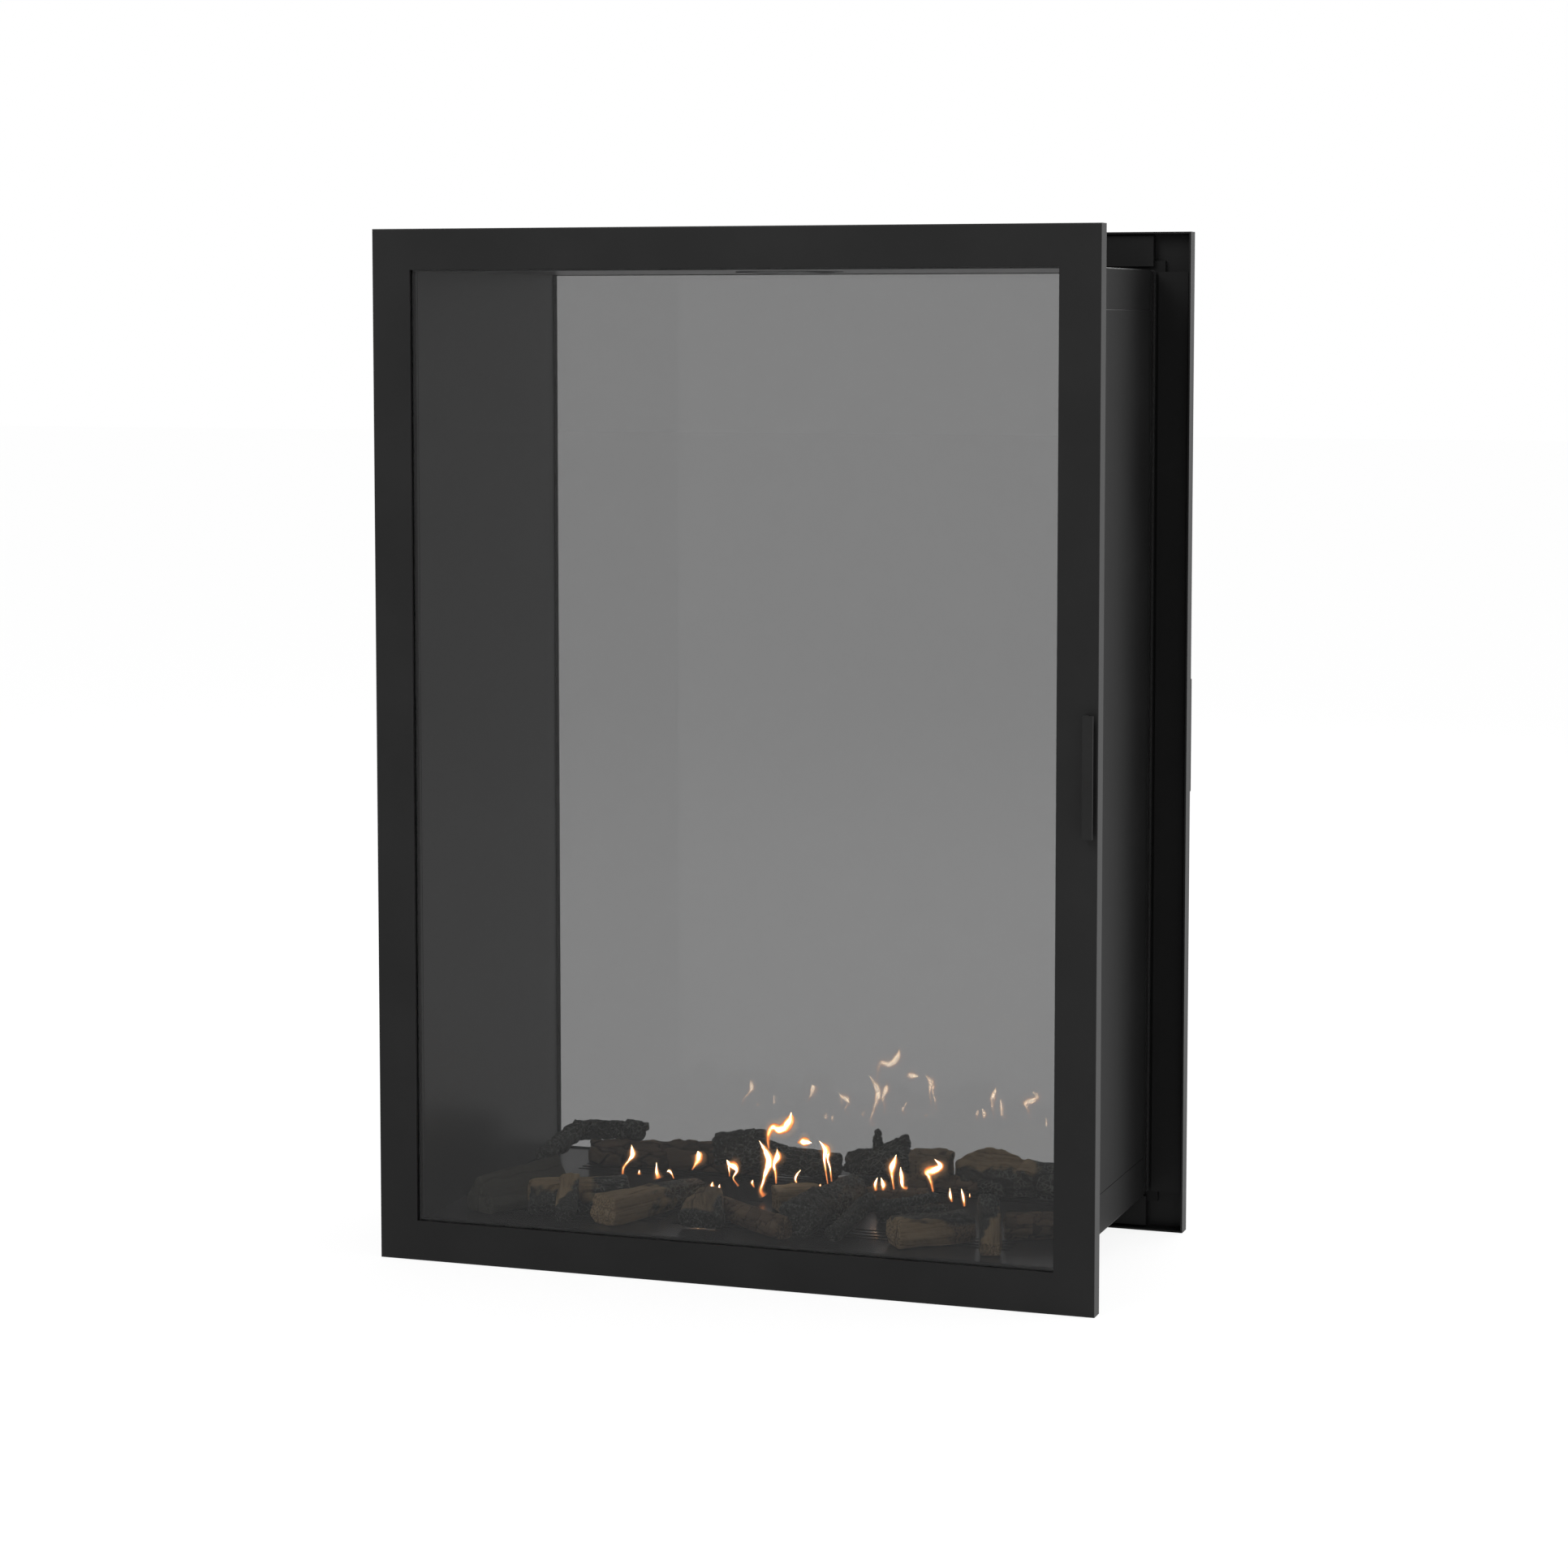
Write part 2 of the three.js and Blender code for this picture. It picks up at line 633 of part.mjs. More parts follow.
// The front air deck. Its slots are punched in rows, with bridges between the slots of a row.
function airDeck() {
  const reach = INNER_HALF_WIDTH - FIT_GAP;
  const front = LINER_END - HALF_DEPTH;
  const back = -BURNER_DECK_WIDTH / 2 - FIT_GAP;
  const plate = rectangle([-reach, front], [reach, back]);
  const { pitch, middles } = evenRow(2 * (INNER_HALF_WIDTH - SLOT_MARGIN) + SLOT_BRIDGE, SLOTS_PER_ROW);
  for (let row = 0; row < SLOT_ROWS; row += 1) {
    const y = -(BURNER_DECK_WIDTH / 2 + SLOT_SETBACK + row * SLOT_PITCH);
    for (const x of middles) {
      plate.holes.push(roundedRectangle([x, y], pitch - SLOT_BRIDGE, SLOT_WIDTH, SLOT_WIDTH / 3));
    }
  }
  const throat = block(
    [-reach - OVERRUN, front - OVERRUN, LINER_INSET + THROAT_SHEET],
    [reach + OVERRUN, THROAT_END - HALF_DEPTH, INNER_INSET + OVERRUN],
  );
  return cut(toSolid(alongZ(plate, LINER_INSET, INNER_INSET)), [throat]);
}

function burnerDeck() {
  const reach = INNER_HALF_WIDTH - FIT_GAP;
  const half = BURNER_DECK_WIDTH / 2;
  const { middles } = evenRow(TROUGH_LENGTH - 2 * PORT_MARGIN, PORT_COUNT);
  const ports = middles.map((x) =>
    block(
      [x - PORT_LENGTH / 2, -PORT_WIDTH / 2, LINER_INSET - OVERRUN],
      [x + PORT_LENGTH / 2, PORT_WIDTH / 2, INNER_INSET + OVERRUN],
    ),
  );
  return cut(toSolid(block([-reach, -half, LINER_INSET], [reach, half, INNER_INSET])), ports);
}

// Burner

function roundedTrough(length, width, corner, sheet, from, to) {
  const outer = roundedRectangle([0, 0], length, width, corner);
  const inner = roundedRectangle([0, 0], length - 2 * sheet, width - 2 * sheet, corner - sheet);
  return cut(toSolid(alongZ(outer, from, to)), [alongZ(inner, from + sheet, to + OVERRUN)]);
}

const TROUGH_TOP = LINER_INSET - FIT_GAP;
const PIPE_HEIGHT = TROUGH_TOP - TROUGH_HEIGHT / 2;

function pipeHole(x) {
  return new THREE.CylinderGeometry(PIPE_RADIUS + FIT_GAP, PIPE_RADIUS + FIT_GAP, 2 * OVERRUN, ROUND_SIDES)
    .rotateZ(Math.PI / 2)
    .translate(x, 0, PIPE_HEIGHT);
}

function burnerTrough() {
  const from = TROUGH_TOP - TROUGH_HEIGHT;
  const shell = roundedTrough(TROUGH_LENGTH, TROUGH_WIDTH, TROUGH_CORNER, TROUGH_SHEET, from, TROUGH_TOP);
  return cut(shell, [pipeHole(-TROUGH_LENGTH / 2)]);
}

// The gas pipe, drawn from its open inner end to the union nut outside the tray
function gasPipe() {
  const start = -TROUGH_LENGTH / 2 + PIPE_INSIDE;
  const end = -TRAY_LENGTH / 2 - PIPE_OUTSIDE;
  const nutStart = end + NUT_LENGTH;
  const profile = [
    [PIPE_BORE, start],
    [PIPE_BORE, end],
    [NUT_RADIUS, end],
    [NUT_RADIUS, nutStart],
    [PIPE_RADIUS, nutStart],
    [PIPE_RADIUS, start],
    [PIPE_BORE, start],
  ].map(([radius, x]) => new THREE.Vector2(radius, x));
  return new THREE.LatheGeometry(profile, ROUND_SIDES).rotateZ(-Math.PI / 2).translate(0, 0, PIPE_HEIGHT);
}

const pilotShare = 0.15; // how far along half the firebox the pilot stands

// A pilot tube with its hood, and a spark electrode beside it, on one small bracket
function pilot() {
  const base = INNER_INSET + FIT_GAP;
  const hoodBase = base + PILOT_TUBE_HEIGHT;
  const foot = roundedRectangle([0, 0], PILOT_BASE_LENGTH, PILOT_BASE_WIDTH, PILOT_BASE_WIDTH / 3);
  return union([
    alongZ(foot, base, base + PILOT_BASE_SHEET),
    upright(PILOT_TUBE_RADIUS, base, hoodBase + PILOT_HOOD_HEIGHT / 2, 0, 0),
    upright(PILOT_HOOD_RADIUS, hoodBase, hoodBase + PILOT_HOOD_HEIGHT, 0, 0),
    upright(ELECTRODE_RADIUS, base, base + ELECTRODE_HEIGHT, ELECTRODE_OFFSET, 0),
  ]);
}

function plinthTray() {
  const top = CASING_INSET - FIT_GAP;
  const shell = roundedTrough(TRAY_LENGTH, TRAY_WIDTH, TRAY_CORNER, TRAY_SHEET, FRAME_DROP, top);
  const cutters = [pipeHole(-TRAY_LENGTH / 2)];
  const { pitch, middles } = evenRow(TRAY_LENGTH - 2 * INLET_MARGIN, INLET_COUNT);
  const row = TRAY_WIDTH / 2 - INLET_SETBACK;
  for (const y of [-row, row]) {
    for (const x of middles) {
      const inlet = roundedRectangle([x, y], pitch - INLET_BRIDGE, INLET_WIDTH, INLET_WIDTH / 3);
      cutters.push(alongZ(inlet, FRAME_DROP - OVERRUN, FRAME_DROP + OVERRUN));
    }
  }
  return cut(shell, cutters);
}

// A pipe end with a rolled bead near its top, and a flange at its foot
function flueRing(radius, base, top, flange) {
  const bead = top - 4 * FLUE_BEAD;
  const bore = radius - FLUE_SHEET;
  const profile = [
    [bore, base],
    [radius + flange, base],
    [radius + flange, base + FLUE_SHEET],
    [radius, base + FLUE_SHEET],
    [radius, bead - FLUE_BEAD],
    [radius + FLUE_BEAD, bead],
    [radius, bead + FLUE_BEAD],
    [radius, top],
    [bore, top],
    [bore, base],
  ].map(([distance, z]) => new THREE.Vector2(distance, z));
  return new THREE.LatheGeometry(profile, COLLAR_SIDES).rotateX(Math.PI / 2);
}

const COLLAR_BASE = CASING_TOP + FIT_GAP;
const COLLAR_TOP = COLLAR_BASE + COLLAR_HEIGHT;

function flueCollar() {
  return flueRing(COLLAR_RADIUS, COLLAR_BASE, COLLAR_TOP, COLLAR_FLANGE);
}

// The spigot's flange lies against the underside of the ceiling.
function flueSpigot() {
  const base = FRAME_HEIGHT - INNER_INSET - FIT_GAP - FLUE_SHEET;
  return flueRing(SPIGOT_RADIUS, base, COLLAR_TOP + SPIGOT_RISE, SPIGOT_LIP);
}

// Logs. Each arm of a log is lofted along a line between two places on the deck. A place is given as shares
// of half the firebox width, half the depth and the log height. Its width and height are also shares of the
// log height.

const ringShares = [0, 0.1, 0.32, 0.56, 0.8, 1];
const sectionShares = {
  round: [
    [1, 0],
    [0.78, 0.62],
    [0.22, 0.98],
    [-0.42, 0.9],
    [-0.93, 0.42],
    [-0.95, -0.3],
    [-0.5, -0.88],
    [0.18, -1],
    [0.8, -0.6],
  ],
  block: [
    [1, -0.35],
    [0.96, 0.55],
    [0.7, 0.95],
    [-0.1, 1],
    [-0.86, 0.84],
    [-1, -0.2],
    [-0.82, -0.92],
    [0.1, -1],
    [0.8, -0.9],
  ],
  wedge: [
    [1, -0.62],
    [0.86, -0.28],
    [0.18, 0.98],
    [-0.04, 1],
    [-0.62, 0.2],
    [-1, -0.42],
    [-0.84, -0.9],
    [0, -1],
    [0.82, -0.94],
  ],
};
const rippleShare = 0.07; // how far a log's outline wanders from its section
const bowShare = 0.1; // how far its middle bows sideways
const slantShare = 0.12; // how far the ends stray from a square cut
const wholeShares = [1, 1];

// Angles in radians that vary one log, ring and corner from the next
const CORNER_ANGLE = 2.4;
const RING_ANGLE = 1.9;
const LOG_ANGLE = 3.1;

function loft(rings) {
  const count = rings[0].length;
  const positions = [];
  const index = [];
  rings.forEach((ring) => ring.forEach((point) => positions.push(point.x, point.y, point.z)));
  for (let k = 0; k + 1 < rings.length; k += 1) {
    for (let i = 0; i < count; i += 1) {
      const a = k * count + i;
      const b = k * count + ((i + 1) % count);
      index.push(a, b, b + count, a, b + count, a + count);
    }
  }
  for (const [ring, offset, inward] of [
    [rings[0], 0, true],
    [rings[rings.length - 1], (rings.length - 1) * count, false],
  ]) {
    const middle = positions.length / 3;
    const centre = ring.reduce((sum, point) => sum.add(point), new THREE.Vector3()).divideScalar(count);
    positions.push(centre.x, centre.y, centre.z);
    for (let i = 0; i < count; i += 1) {
      const a = offset + i;
      const b = offset + ((i + 1) % count);
      index.push(...(inward ? [middle, b, a] : [middle, a, b]));
    }
  }
  const geometry = new THREE.BufferGeometry();
  geometry.setAttribute("position", new THREE.Float32BufferAttribute(positions, 3));
  geometry.setIndex(index);
  return geometry;
}

function deckPlace([xShare, yShare, heightShare]) {
  return new THREE.Vector3(
    xShare * INNER_HALF_WIDTH,
    yShare * HALF_DEPTH,
    INNER_INSET + heightShare * LOG_HEIGHT,
  );
}

function logArm([fromShares, toShares, sizeShares, section, endShares = wholeShares], seed, grow) {
  const start = deckPlace(fromShares);
  const end = deckPlace(toShares);
  const axis = end.clone().sub(start).normalize();
  const side = new THREE.Vector3().crossVectors(UNIT_Z, axis).normalize();
  const up = new THREE.Vector3().crossVectors(axis, side);
  start.addScaledVector(axis, -grow);
  end.addScaledVector(axis, grow);
  const halfWidth = (sizeShares[0] * LOG_HEIGHT) / 2;
  const halfHeight = (sizeShares[1] * LOG_HEIGHT) / 2;
  const last = ringShares.length - 1;
  const rings = ringShares.map((t, k) => {
    const swell = 1 - (1 - endShares[0]) * (1 - t) ** 2 - (1 - endShares[1]) * t ** 2;
    const bow = bowShare * halfWidth * Math.sin(Math.PI * t) * Math.sin(seed * LOG_ANGLE);
    return sectionShares[section].map(([u, v], i) => {
      const phase = i * CORNER_ANGLE + k * RING_ANGLE + seed * LOG_ANGLE;
      const ripple = 1 + rippleShare * Math.sin(phase);
      const across = u * (halfWidth * swell * ripple + grow) + bow;
      const above = v * (halfHeight * swell * ripple + grow);
      const ends = k === 0 ? -1 : k === last ? 1 : 0;
      const slant = ends * slantShare * halfHeight * Math.sin(i + seed);
      return start
        .clone()
        .lerp(end, t)
        .addScaledVector(side, across)
        .addScaledVector(up, above)
        .addScaledVector(axis, slant);
    });
  });
  return toSolid(loft(rings));
}

// For each log, its arms: start, end, width and height, section, and its size at both ends against its middle
const logShares = {
  log_split_large: [
    [[-0.86, -0.74, 0.4], [-0.71, -0.26, 0.46], [1, 0.92], "wedge", [0.85, 1]],
    [[-0.75, -0.5, 0.83], [-0.76, -0.47, 1.22], [0.17, 0.17], "round"],
  ],
  log_bark_long: [[[-0.8, 0.61, 0.21], [-0.19, 0.63, 0.36], [0.74, 0.78], "round", [0.85, 1]]],
  log_split_left: [[[-0.72, -0.63, 0.35], [-0.45, -0.38, 0.34], [0.66, 0.7], "block"]],
  log_split_pale: [[[-0.44, -0.79, 0.32], [-0.29, -0.08, 0.24], [0.74, 0.66], "block", [1, 0.7]]],
  log_split_short: [[[-0.14, -0.73, 0.2], [-0.15, -0.52, 0.66], [1, 0.5], "block", [1, 0.5]]],
  log_split_block: [[[-0.01, -0.19, 0.26], [0.1, -0.06, 0.26], [0.6, 0.56], "block"]],
  log_char_round: [[[0.17, -0.73, 0.42], [0.2, 0.08, 0.34], [0.84, 0.84], "round", [1, 0.78]]],
  log_char_low: [[[0.34, -0.26, 0.17], [0.53, -0.11, 0.17], [0.34, 0.34], "round"]],
  log_split_front: [[[0.475, -0.74, 0.3], [0.66, -0.47, 0.29], [0.74, 0.62], "block"]],
  log_bark_right: [[[0.76, -0.4, 0.27], [0.95, -0.28, 0.27], [0.54, 0.56], "round"]],
  log_bark_rear: [[[0.24, 0.56, 0.08], [0.52, 0.56, 0.2], [0.5, 0.42], "round"]],
  log_bark_block: [[[0.3, 0.56, 0.57], [0.43, 0.56, 0.58], [0.56, 0.62], "block"]],
  log_bark_middle: [[[0.23, 0.14, 0.12], [0.42, 0.2, 0.16], [0.42, 0.44], "block"]],
  log_split_peak: [
    [[0.45, 0.56, 0.44], [0.56, 0.62, 0.46], [0.9, 1.1], "wedge", [0.5, 1]],
    [[0.54, 0.62, 0.45], [0.67, 0.57, 0.42], [0.9, 1.1], "wedge", [1, 0.7]],
    [[0.66, 0.57, 0.42], [0.86, 0.5, 0.42], [0.8, 0.84], "round"],
  ],
  log_char_rear: [
    [[-0.34, 0.5, 0.62], [0.03, 0.7, 0.22], [0.62, 0.66], "round", [1, 0.85]],
    [[-0.36, 0.54, 0.65], [-0.2, 0.6, 0.73], [0.58, 0.62], "round", [0.9, 1]],
  ],
  log_char_stubs: [
    [[0.04, 0.78, 0.27], [0.25, 0.78, 0.36], [0.6, 0.74], "round", [0.6, 0.95]],
    [[0.15, 0.78, 0.54], [0.145, 0.77, 1.08], [0.22, 0.22], "round", [1, 0.6]],
    [[0.15, 0.78, 0.58], [0.24, 0.82, 0.83], [0.27, 0.27], "round"],
  ],
  log_char_fork: [
    [[-0.78, -0.2, 0.82], [-0.84, 0.56, 0.78], [0.36, 0.36], "round"],
    [[-0.86, 0.6, 0.73], [-0.63, 0.62, 0.82], [0.42, 0.46], "round", [1, 0.85]],
    [[-0.67, 0.61, 0.93], [-0.61, 0.62, 0.92], [0.16, 0.16], "round"],
  ],
  log_split_leaning: [[[-0.56, -0.8, 0.15], [-0.61, -0.52, 0.66], [0.46, 0.38], "block"]],
  log_bark_front: [[[-0.13, -0.45, 0.26], [0.14, -0.79, 0.24], [0.46, 0.5], "round"]],
  log_char_thin_fork: [
    [[0.29, -0.76, 0.17], [0.32, -0.3, 0.52], [0.35, 0.35], "round", [1, 0.85]],
    [[0.31, -0.31, 0.35], [0.54, -0.32, 0.72], [0.19, 0.19], "round"],
  ],
  log_split_upright: [[[0.78, -0.79, 0.12], [0.7, -0.35, 0.74], [0.46, 0.38], "block"]],
};
const logFinishes = { split: splitPale, bark: barkBrown, char: charred };

// Each log is cast with a flat underside, and with seats where it lies on the logs placed before it.
function logSet() {
  const group = new THREE.Group();
  const deckTop = INNER_INSET + FIT_GAP;
  const below = block(
    [-HALF_WIDTH, -HALF_DEPTH, -LOG_HEIGHT],
    [HALF_WIDTH, HALF_DEPTH, deckTop],
  );
  const placed = [];
  Object.entries(logShares).forEach(([name, arms], seed) => {
    const build = (grow) => arms.map((arm, i) => logArm(arm, seed + i, grow)).reduce((a, b) => a.add(b));
    const seated = placed.reduce((log, lower) => log.subtract(lower), cut(build(0), [below]));
    const largest = seated.decompose().reduce((a, b) => (a.volume() > b.volume() ? a : b));
    placed.push(build(FIT_GAP));
    group.add(mesh(name, largest, logFinishes[name.split("_")[1]]));
  });
  return group;
}

// Assembly

const carcass = new THREE.Group();
carcass.position.z = -FRAME_DROP;
for (const side of ["front", "rear"]) {
  carcass.add(placeAtFace(leaf(side), side));
  carcass.add(placeAtFace(leafHardware(side), side));
}
carcass.add(mesh("casing_top", casingTop(), casingBlack));
carcass.add(turnedOver(mesh("casing_base", casingBase(), casingBlack)));
carcass.add(mesh("casing_side_right", casingSide(), casingBlack));
carcass.add(turnedRound(mesh("casing_side_left", casingSide(), casingBlack)));
carcass.add(mesh("lining_right", liningSide(), linerBlack));
carcass.add(turnedRound(mesh("lining_left", liningSide(), linerBlack)));
carcass.add(mesh("lining_ceiling", liningCeiling(), linerBlack));
carcass.add(mesh("air_deck_front", airDeck(), deckBlack));
carcass.add(turnedRound(mesh("air_deck_rear", airDeck(), deckBlack)));
carcass.add(mesh("burner_deck", burnerDeck(), deckBlack));
carcass.add(mesh("burner_trough", burnerTrough(), plainSteel));
carcass.add(mesh("gas_pipe", gasPipe(), plainSteel));
carcass.add(mesh("plinth_tray", plinthTray(), casingBlack));
carcass.add(mesh("flue_collar", flueCollar(), plainSteel));
carcass.add(mesh("flue_spigot", flueSpigot(), plainSteel));
const pilotMesh = mesh("pilot_burner", pilot(), plainSteel);
pilotMesh.position.set(pilotShare * INNER_HALF_WIDTH, PILOT_Y, 0);
carcass.add(pilotMesh);
carcass.add(logSet());

const fireplace = new THREE.Group();
fireplace.add(carcass);

export default fireplace;
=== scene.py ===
import math

import bpy
import numpy as np
from mathutils import Matrix, Vector, noise
from mathutils.bvhtree import BVHTree


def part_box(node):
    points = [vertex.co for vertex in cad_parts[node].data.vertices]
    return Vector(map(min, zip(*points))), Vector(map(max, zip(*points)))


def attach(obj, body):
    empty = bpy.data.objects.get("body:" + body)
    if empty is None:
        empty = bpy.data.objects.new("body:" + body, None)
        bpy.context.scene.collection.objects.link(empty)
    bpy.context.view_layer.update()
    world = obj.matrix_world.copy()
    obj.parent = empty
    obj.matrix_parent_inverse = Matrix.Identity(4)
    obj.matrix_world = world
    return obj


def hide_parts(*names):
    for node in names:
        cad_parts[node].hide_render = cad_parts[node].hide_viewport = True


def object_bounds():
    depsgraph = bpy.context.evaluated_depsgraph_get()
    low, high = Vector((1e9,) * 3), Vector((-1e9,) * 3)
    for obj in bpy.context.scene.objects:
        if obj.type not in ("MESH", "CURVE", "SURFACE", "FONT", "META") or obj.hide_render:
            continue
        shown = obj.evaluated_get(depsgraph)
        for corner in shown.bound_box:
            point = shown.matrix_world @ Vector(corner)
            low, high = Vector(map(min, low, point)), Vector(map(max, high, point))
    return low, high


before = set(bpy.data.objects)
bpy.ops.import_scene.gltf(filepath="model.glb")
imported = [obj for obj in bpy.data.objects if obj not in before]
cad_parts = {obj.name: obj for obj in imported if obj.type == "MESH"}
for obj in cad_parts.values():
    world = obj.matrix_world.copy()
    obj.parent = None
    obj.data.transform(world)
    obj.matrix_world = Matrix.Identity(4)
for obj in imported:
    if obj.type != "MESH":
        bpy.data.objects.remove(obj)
cad_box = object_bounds()

# Studio
# A plain pale floor level with the leaves' lower edges, under a soft dome of light that is brighter
# above, behind and to the right. Two soft boxes stand in front and behind, and one at the right.
# The camera stands to the right of the front leaf, a little below its top edge.

CAMERA_PLACE = (1.3467, -3.9193, 0.9892)
CAMERA_TURN = math.radians(19.05)
CAMERA_PITCH = math.radians(4.94)
CAMERA_LENS = 88.54  # mm, on a sensor 36 mm wide
CAMERA_SENSOR = 36
CAMERA_SHIFT = -0.08

camera_data = bpy.data.cameras.new("camera")
camera_data.sensor_width = CAMERA_SENSOR
camera_data.lens = CAMERA_LENS
camera_data.shift_y = CAMERA_SHIFT
camera = bpy.data.objects.new("camera", camera_data)
camera.location = CAMERA_PLACE
camera.rotation_euler = (math.pi / 2 - CAMERA_PITCH, 0, CAMERA_TURN)
bpy.context.scene.collection.objects.link(camera)
bpy.context.scene.camera = camera
bpy.context.scene.view_settings.view_transform = "Standard"

DOME_LEVEL = 0.45  # the dome's light at the horizon, left and right of the camera
DOME_LIFT = (0.10, 0.22, 0.30)  # how much more comes from the right, from behind and from above
FLOOR_SIZE = 60
FLOOR_DROP = 0.0005
FLOOR_WHITE = 0.85
FLOOR_GLOW = 0.88  # the white that the camera sees in the floor's darkest shadow
FLOOR_SHADED = 0.17
SOFT_BOX_AIM = (0, 0, 0.4)
SOFT_BOXES = {
    # name: place, size in metres, watts
    "soft_box_front": ((-1.6, -3.2, 3.4), 2.2, 70),
    "soft_box_rear": ((1.0, 3.2, 3.0), 2.2, 60),
    "soft_box_right": ((3.2, 0.6, 1.6), 1.8, 30),
}


class Shader:
    """The nodes of a material or of the world, with short calls to add and join them."""

    def __init__(self, tree):
        self.tree = tree
        self.tree.nodes.clear()

    def put(self, node, socket, value):
        target = node.inputs[socket]
        if isinstance(value, bpy.types.NodeSocket):
            self.tree.links.new(value, target)
        else:
            target.default_value = value

    def node(self, kind, settings=None, **sockets):
        made = self.tree.nodes.new(kind)
        for name, value in (settings or {}).items():
            setattr(made, name, value)
        for name, value in sockets.items():
            self.put(made, name.replace("_", " "), value)
        return made

    def maths(self, operation, *values):
        made = self.node("ShaderNodeMath", {"operation": operation})
        for place, value in enumerate(values):
            self.put(made, place, value)
        return made.outputs[0]

    def blend(self, kind, factor, first, second):
        """A mix or an add of two shaders."""
        made = self.node(kind)
        if factor is not None:
            self.put(made, 0, factor)
        start = len(made.inputs) - 2
        self.put(made, start, first.outputs[0])
        self.put(made, start + 1, second.outputs[0])
        return made

    def mix(self, factor, first, second):
        """A mix of two colours."""
        made = self.node("ShaderNodeMix", {"data_type": "RGBA"})
        for name, value in (("Factor_Float", factor), ("A_Color", first), ("B_Color", second)):
            socket = next(s for s in made.inputs if s.identifier == name)
            if isinstance(value, bpy.types.NodeSocket):
                self.tree.links.new(value, socket)
            else:
                socket.default_value = value
        return next(s for s in made.outputs if s.identifier == "Result_Color")

    def fade(self, value, start, end, low=0.0, high=1.0):
        """A value taken from one range to another, and held at its ends."""
        limits = {"From_Min": start, "From_Max": end, "To_Min": low, "To_Max": high}
        made = self.node("ShaderNodeMapRange", Value=value, **limits)
        return made.outputs["Result"]

    def ramp(self, value, *stops):
        """Colours along a value: each stop is a place and a colour."""
        made = self.node("ShaderNodeValToRGB", Fac=value)
        elements = made.color_ramp.elements
        while len(elements) < len(stops):
            elements.new(0.5)
        for element, (place, colour) in zip(elements, stops):
            element.position = place
            element.color = colour
        return made.outputs["Color"]

    def seen_white(self):
        """1 where the camera sees the backdrop: straight, through glass or in a mirror image."""
        path = self.node("ShaderNodeLightPath")
        through = self.maths("MAXIMUM", path.outputs["Is Camera Ray"], path.outputs["Is Transmission Ray"])
        return self.maths("MAXIMUM", through, path.outputs["Is Glossy Ray"])


def grey(level):
    return (level, level, level, 1)


def shade(colour, factor):
    return (*(c * factor for c in colour[:3]), 1)


world = bpy.data.worlds.new("studio")
bpy.context.scene.world = world
world.use_nodes = True
studio = Shader(world.node_tree)
direction = studio.node("ShaderNodeTexCoord").outputs["Generated"]
lift = studio.node("ShaderNodeVectorMath", {"operation": "DOT_PRODUCT"})
studio.put(lift, 0, direction)
studio.put(lift, 1, DOME_LIFT)
level = studio.maths("ADD", lift.outputs["Value"], DOME_LEVEL)
dome = studio.node("ShaderNodeBackground", Color=grey(1), Strength=level)
white = studio.node("ShaderNodeBackground", Color=grey(1))
backdrop = studio.blend("ShaderNodeMixShader", studio.seen_white(), dome, white)
studio.node("ShaderNodeOutputWorld", Surface=backdrop.outputs[0])

for name, (place, size, watts) in SOFT_BOXES.items():
    light = bpy.data.lights.new(name, "AREA")
    light.size = size
    light.energy = watts
    lamp = bpy.data.objects.new(name, light)
    lamp.location = place
    lamp.rotation_euler = (Vector(SOFT_BOX_AIM) - Vector(place)).to_track_quat("-Z", "Y").to_euler()
    bpy.context.scene.collection.objects.link(lamp)


def new_material(name):
    material = bpy.data.materials.new(name)
    material.use_nodes = True
    return material, Shader(material.node_tree)


def mesh_object(name, vertices, faces):
    mesh = bpy.data.meshes.new(name)
    mesh.from_pydata([tuple(v) for v in vertices], [], faces)
    mesh.validate()
    made = bpy.data.objects.new(name, mesh)
    bpy.context.scene.collection.objects.link(made)
    return made


reach = FLOOR_SIZE / 2
floor_level = cad_box[0].z - FLOOR_DROP
corners = [(-reach, -reach), (reach, -reach), (reach, reach), (-reach, reach)]
floor = mesh_object("floor", [(x, y, floor_level) for x, y in corners], [(0, 1, 2, 3)])
paper, shader = new_material("studio_paper")
matt = shader.node("ShaderNodeBsdfDiffuse", Color=grey(FLOOR_WHITE))
thin = shader.node("ShaderNodeBsdfDiffuse", Color=grey(FLOOR_SHADED))
glow = shader.node("ShaderNodeEmission", Color=grey(1), Strength=FLOOR_GLOW)
lit = shader.blend("ShaderNodeAddShader", None, thin, glow)
seen = shader.blend("ShaderNodeMixShader", shader.seen_white(), matt, lit)
shader.node("ShaderNodeOutputMaterial", Surface=seen.outputs[0])
floor.data.materials.append(paper)

# Casing and plinth
# The box is folded from 1 mm steel sheet: a channel over the top, another under the base, and a
# plain panel at each side. It stands on a shallow tray. All of it is matt black powder coat.

CASING_GREY = 0.010
COAT_DRIFT = 0.03  # how far a coat's roughness strays
SMOOTH_ANGLE = math.radians(32)


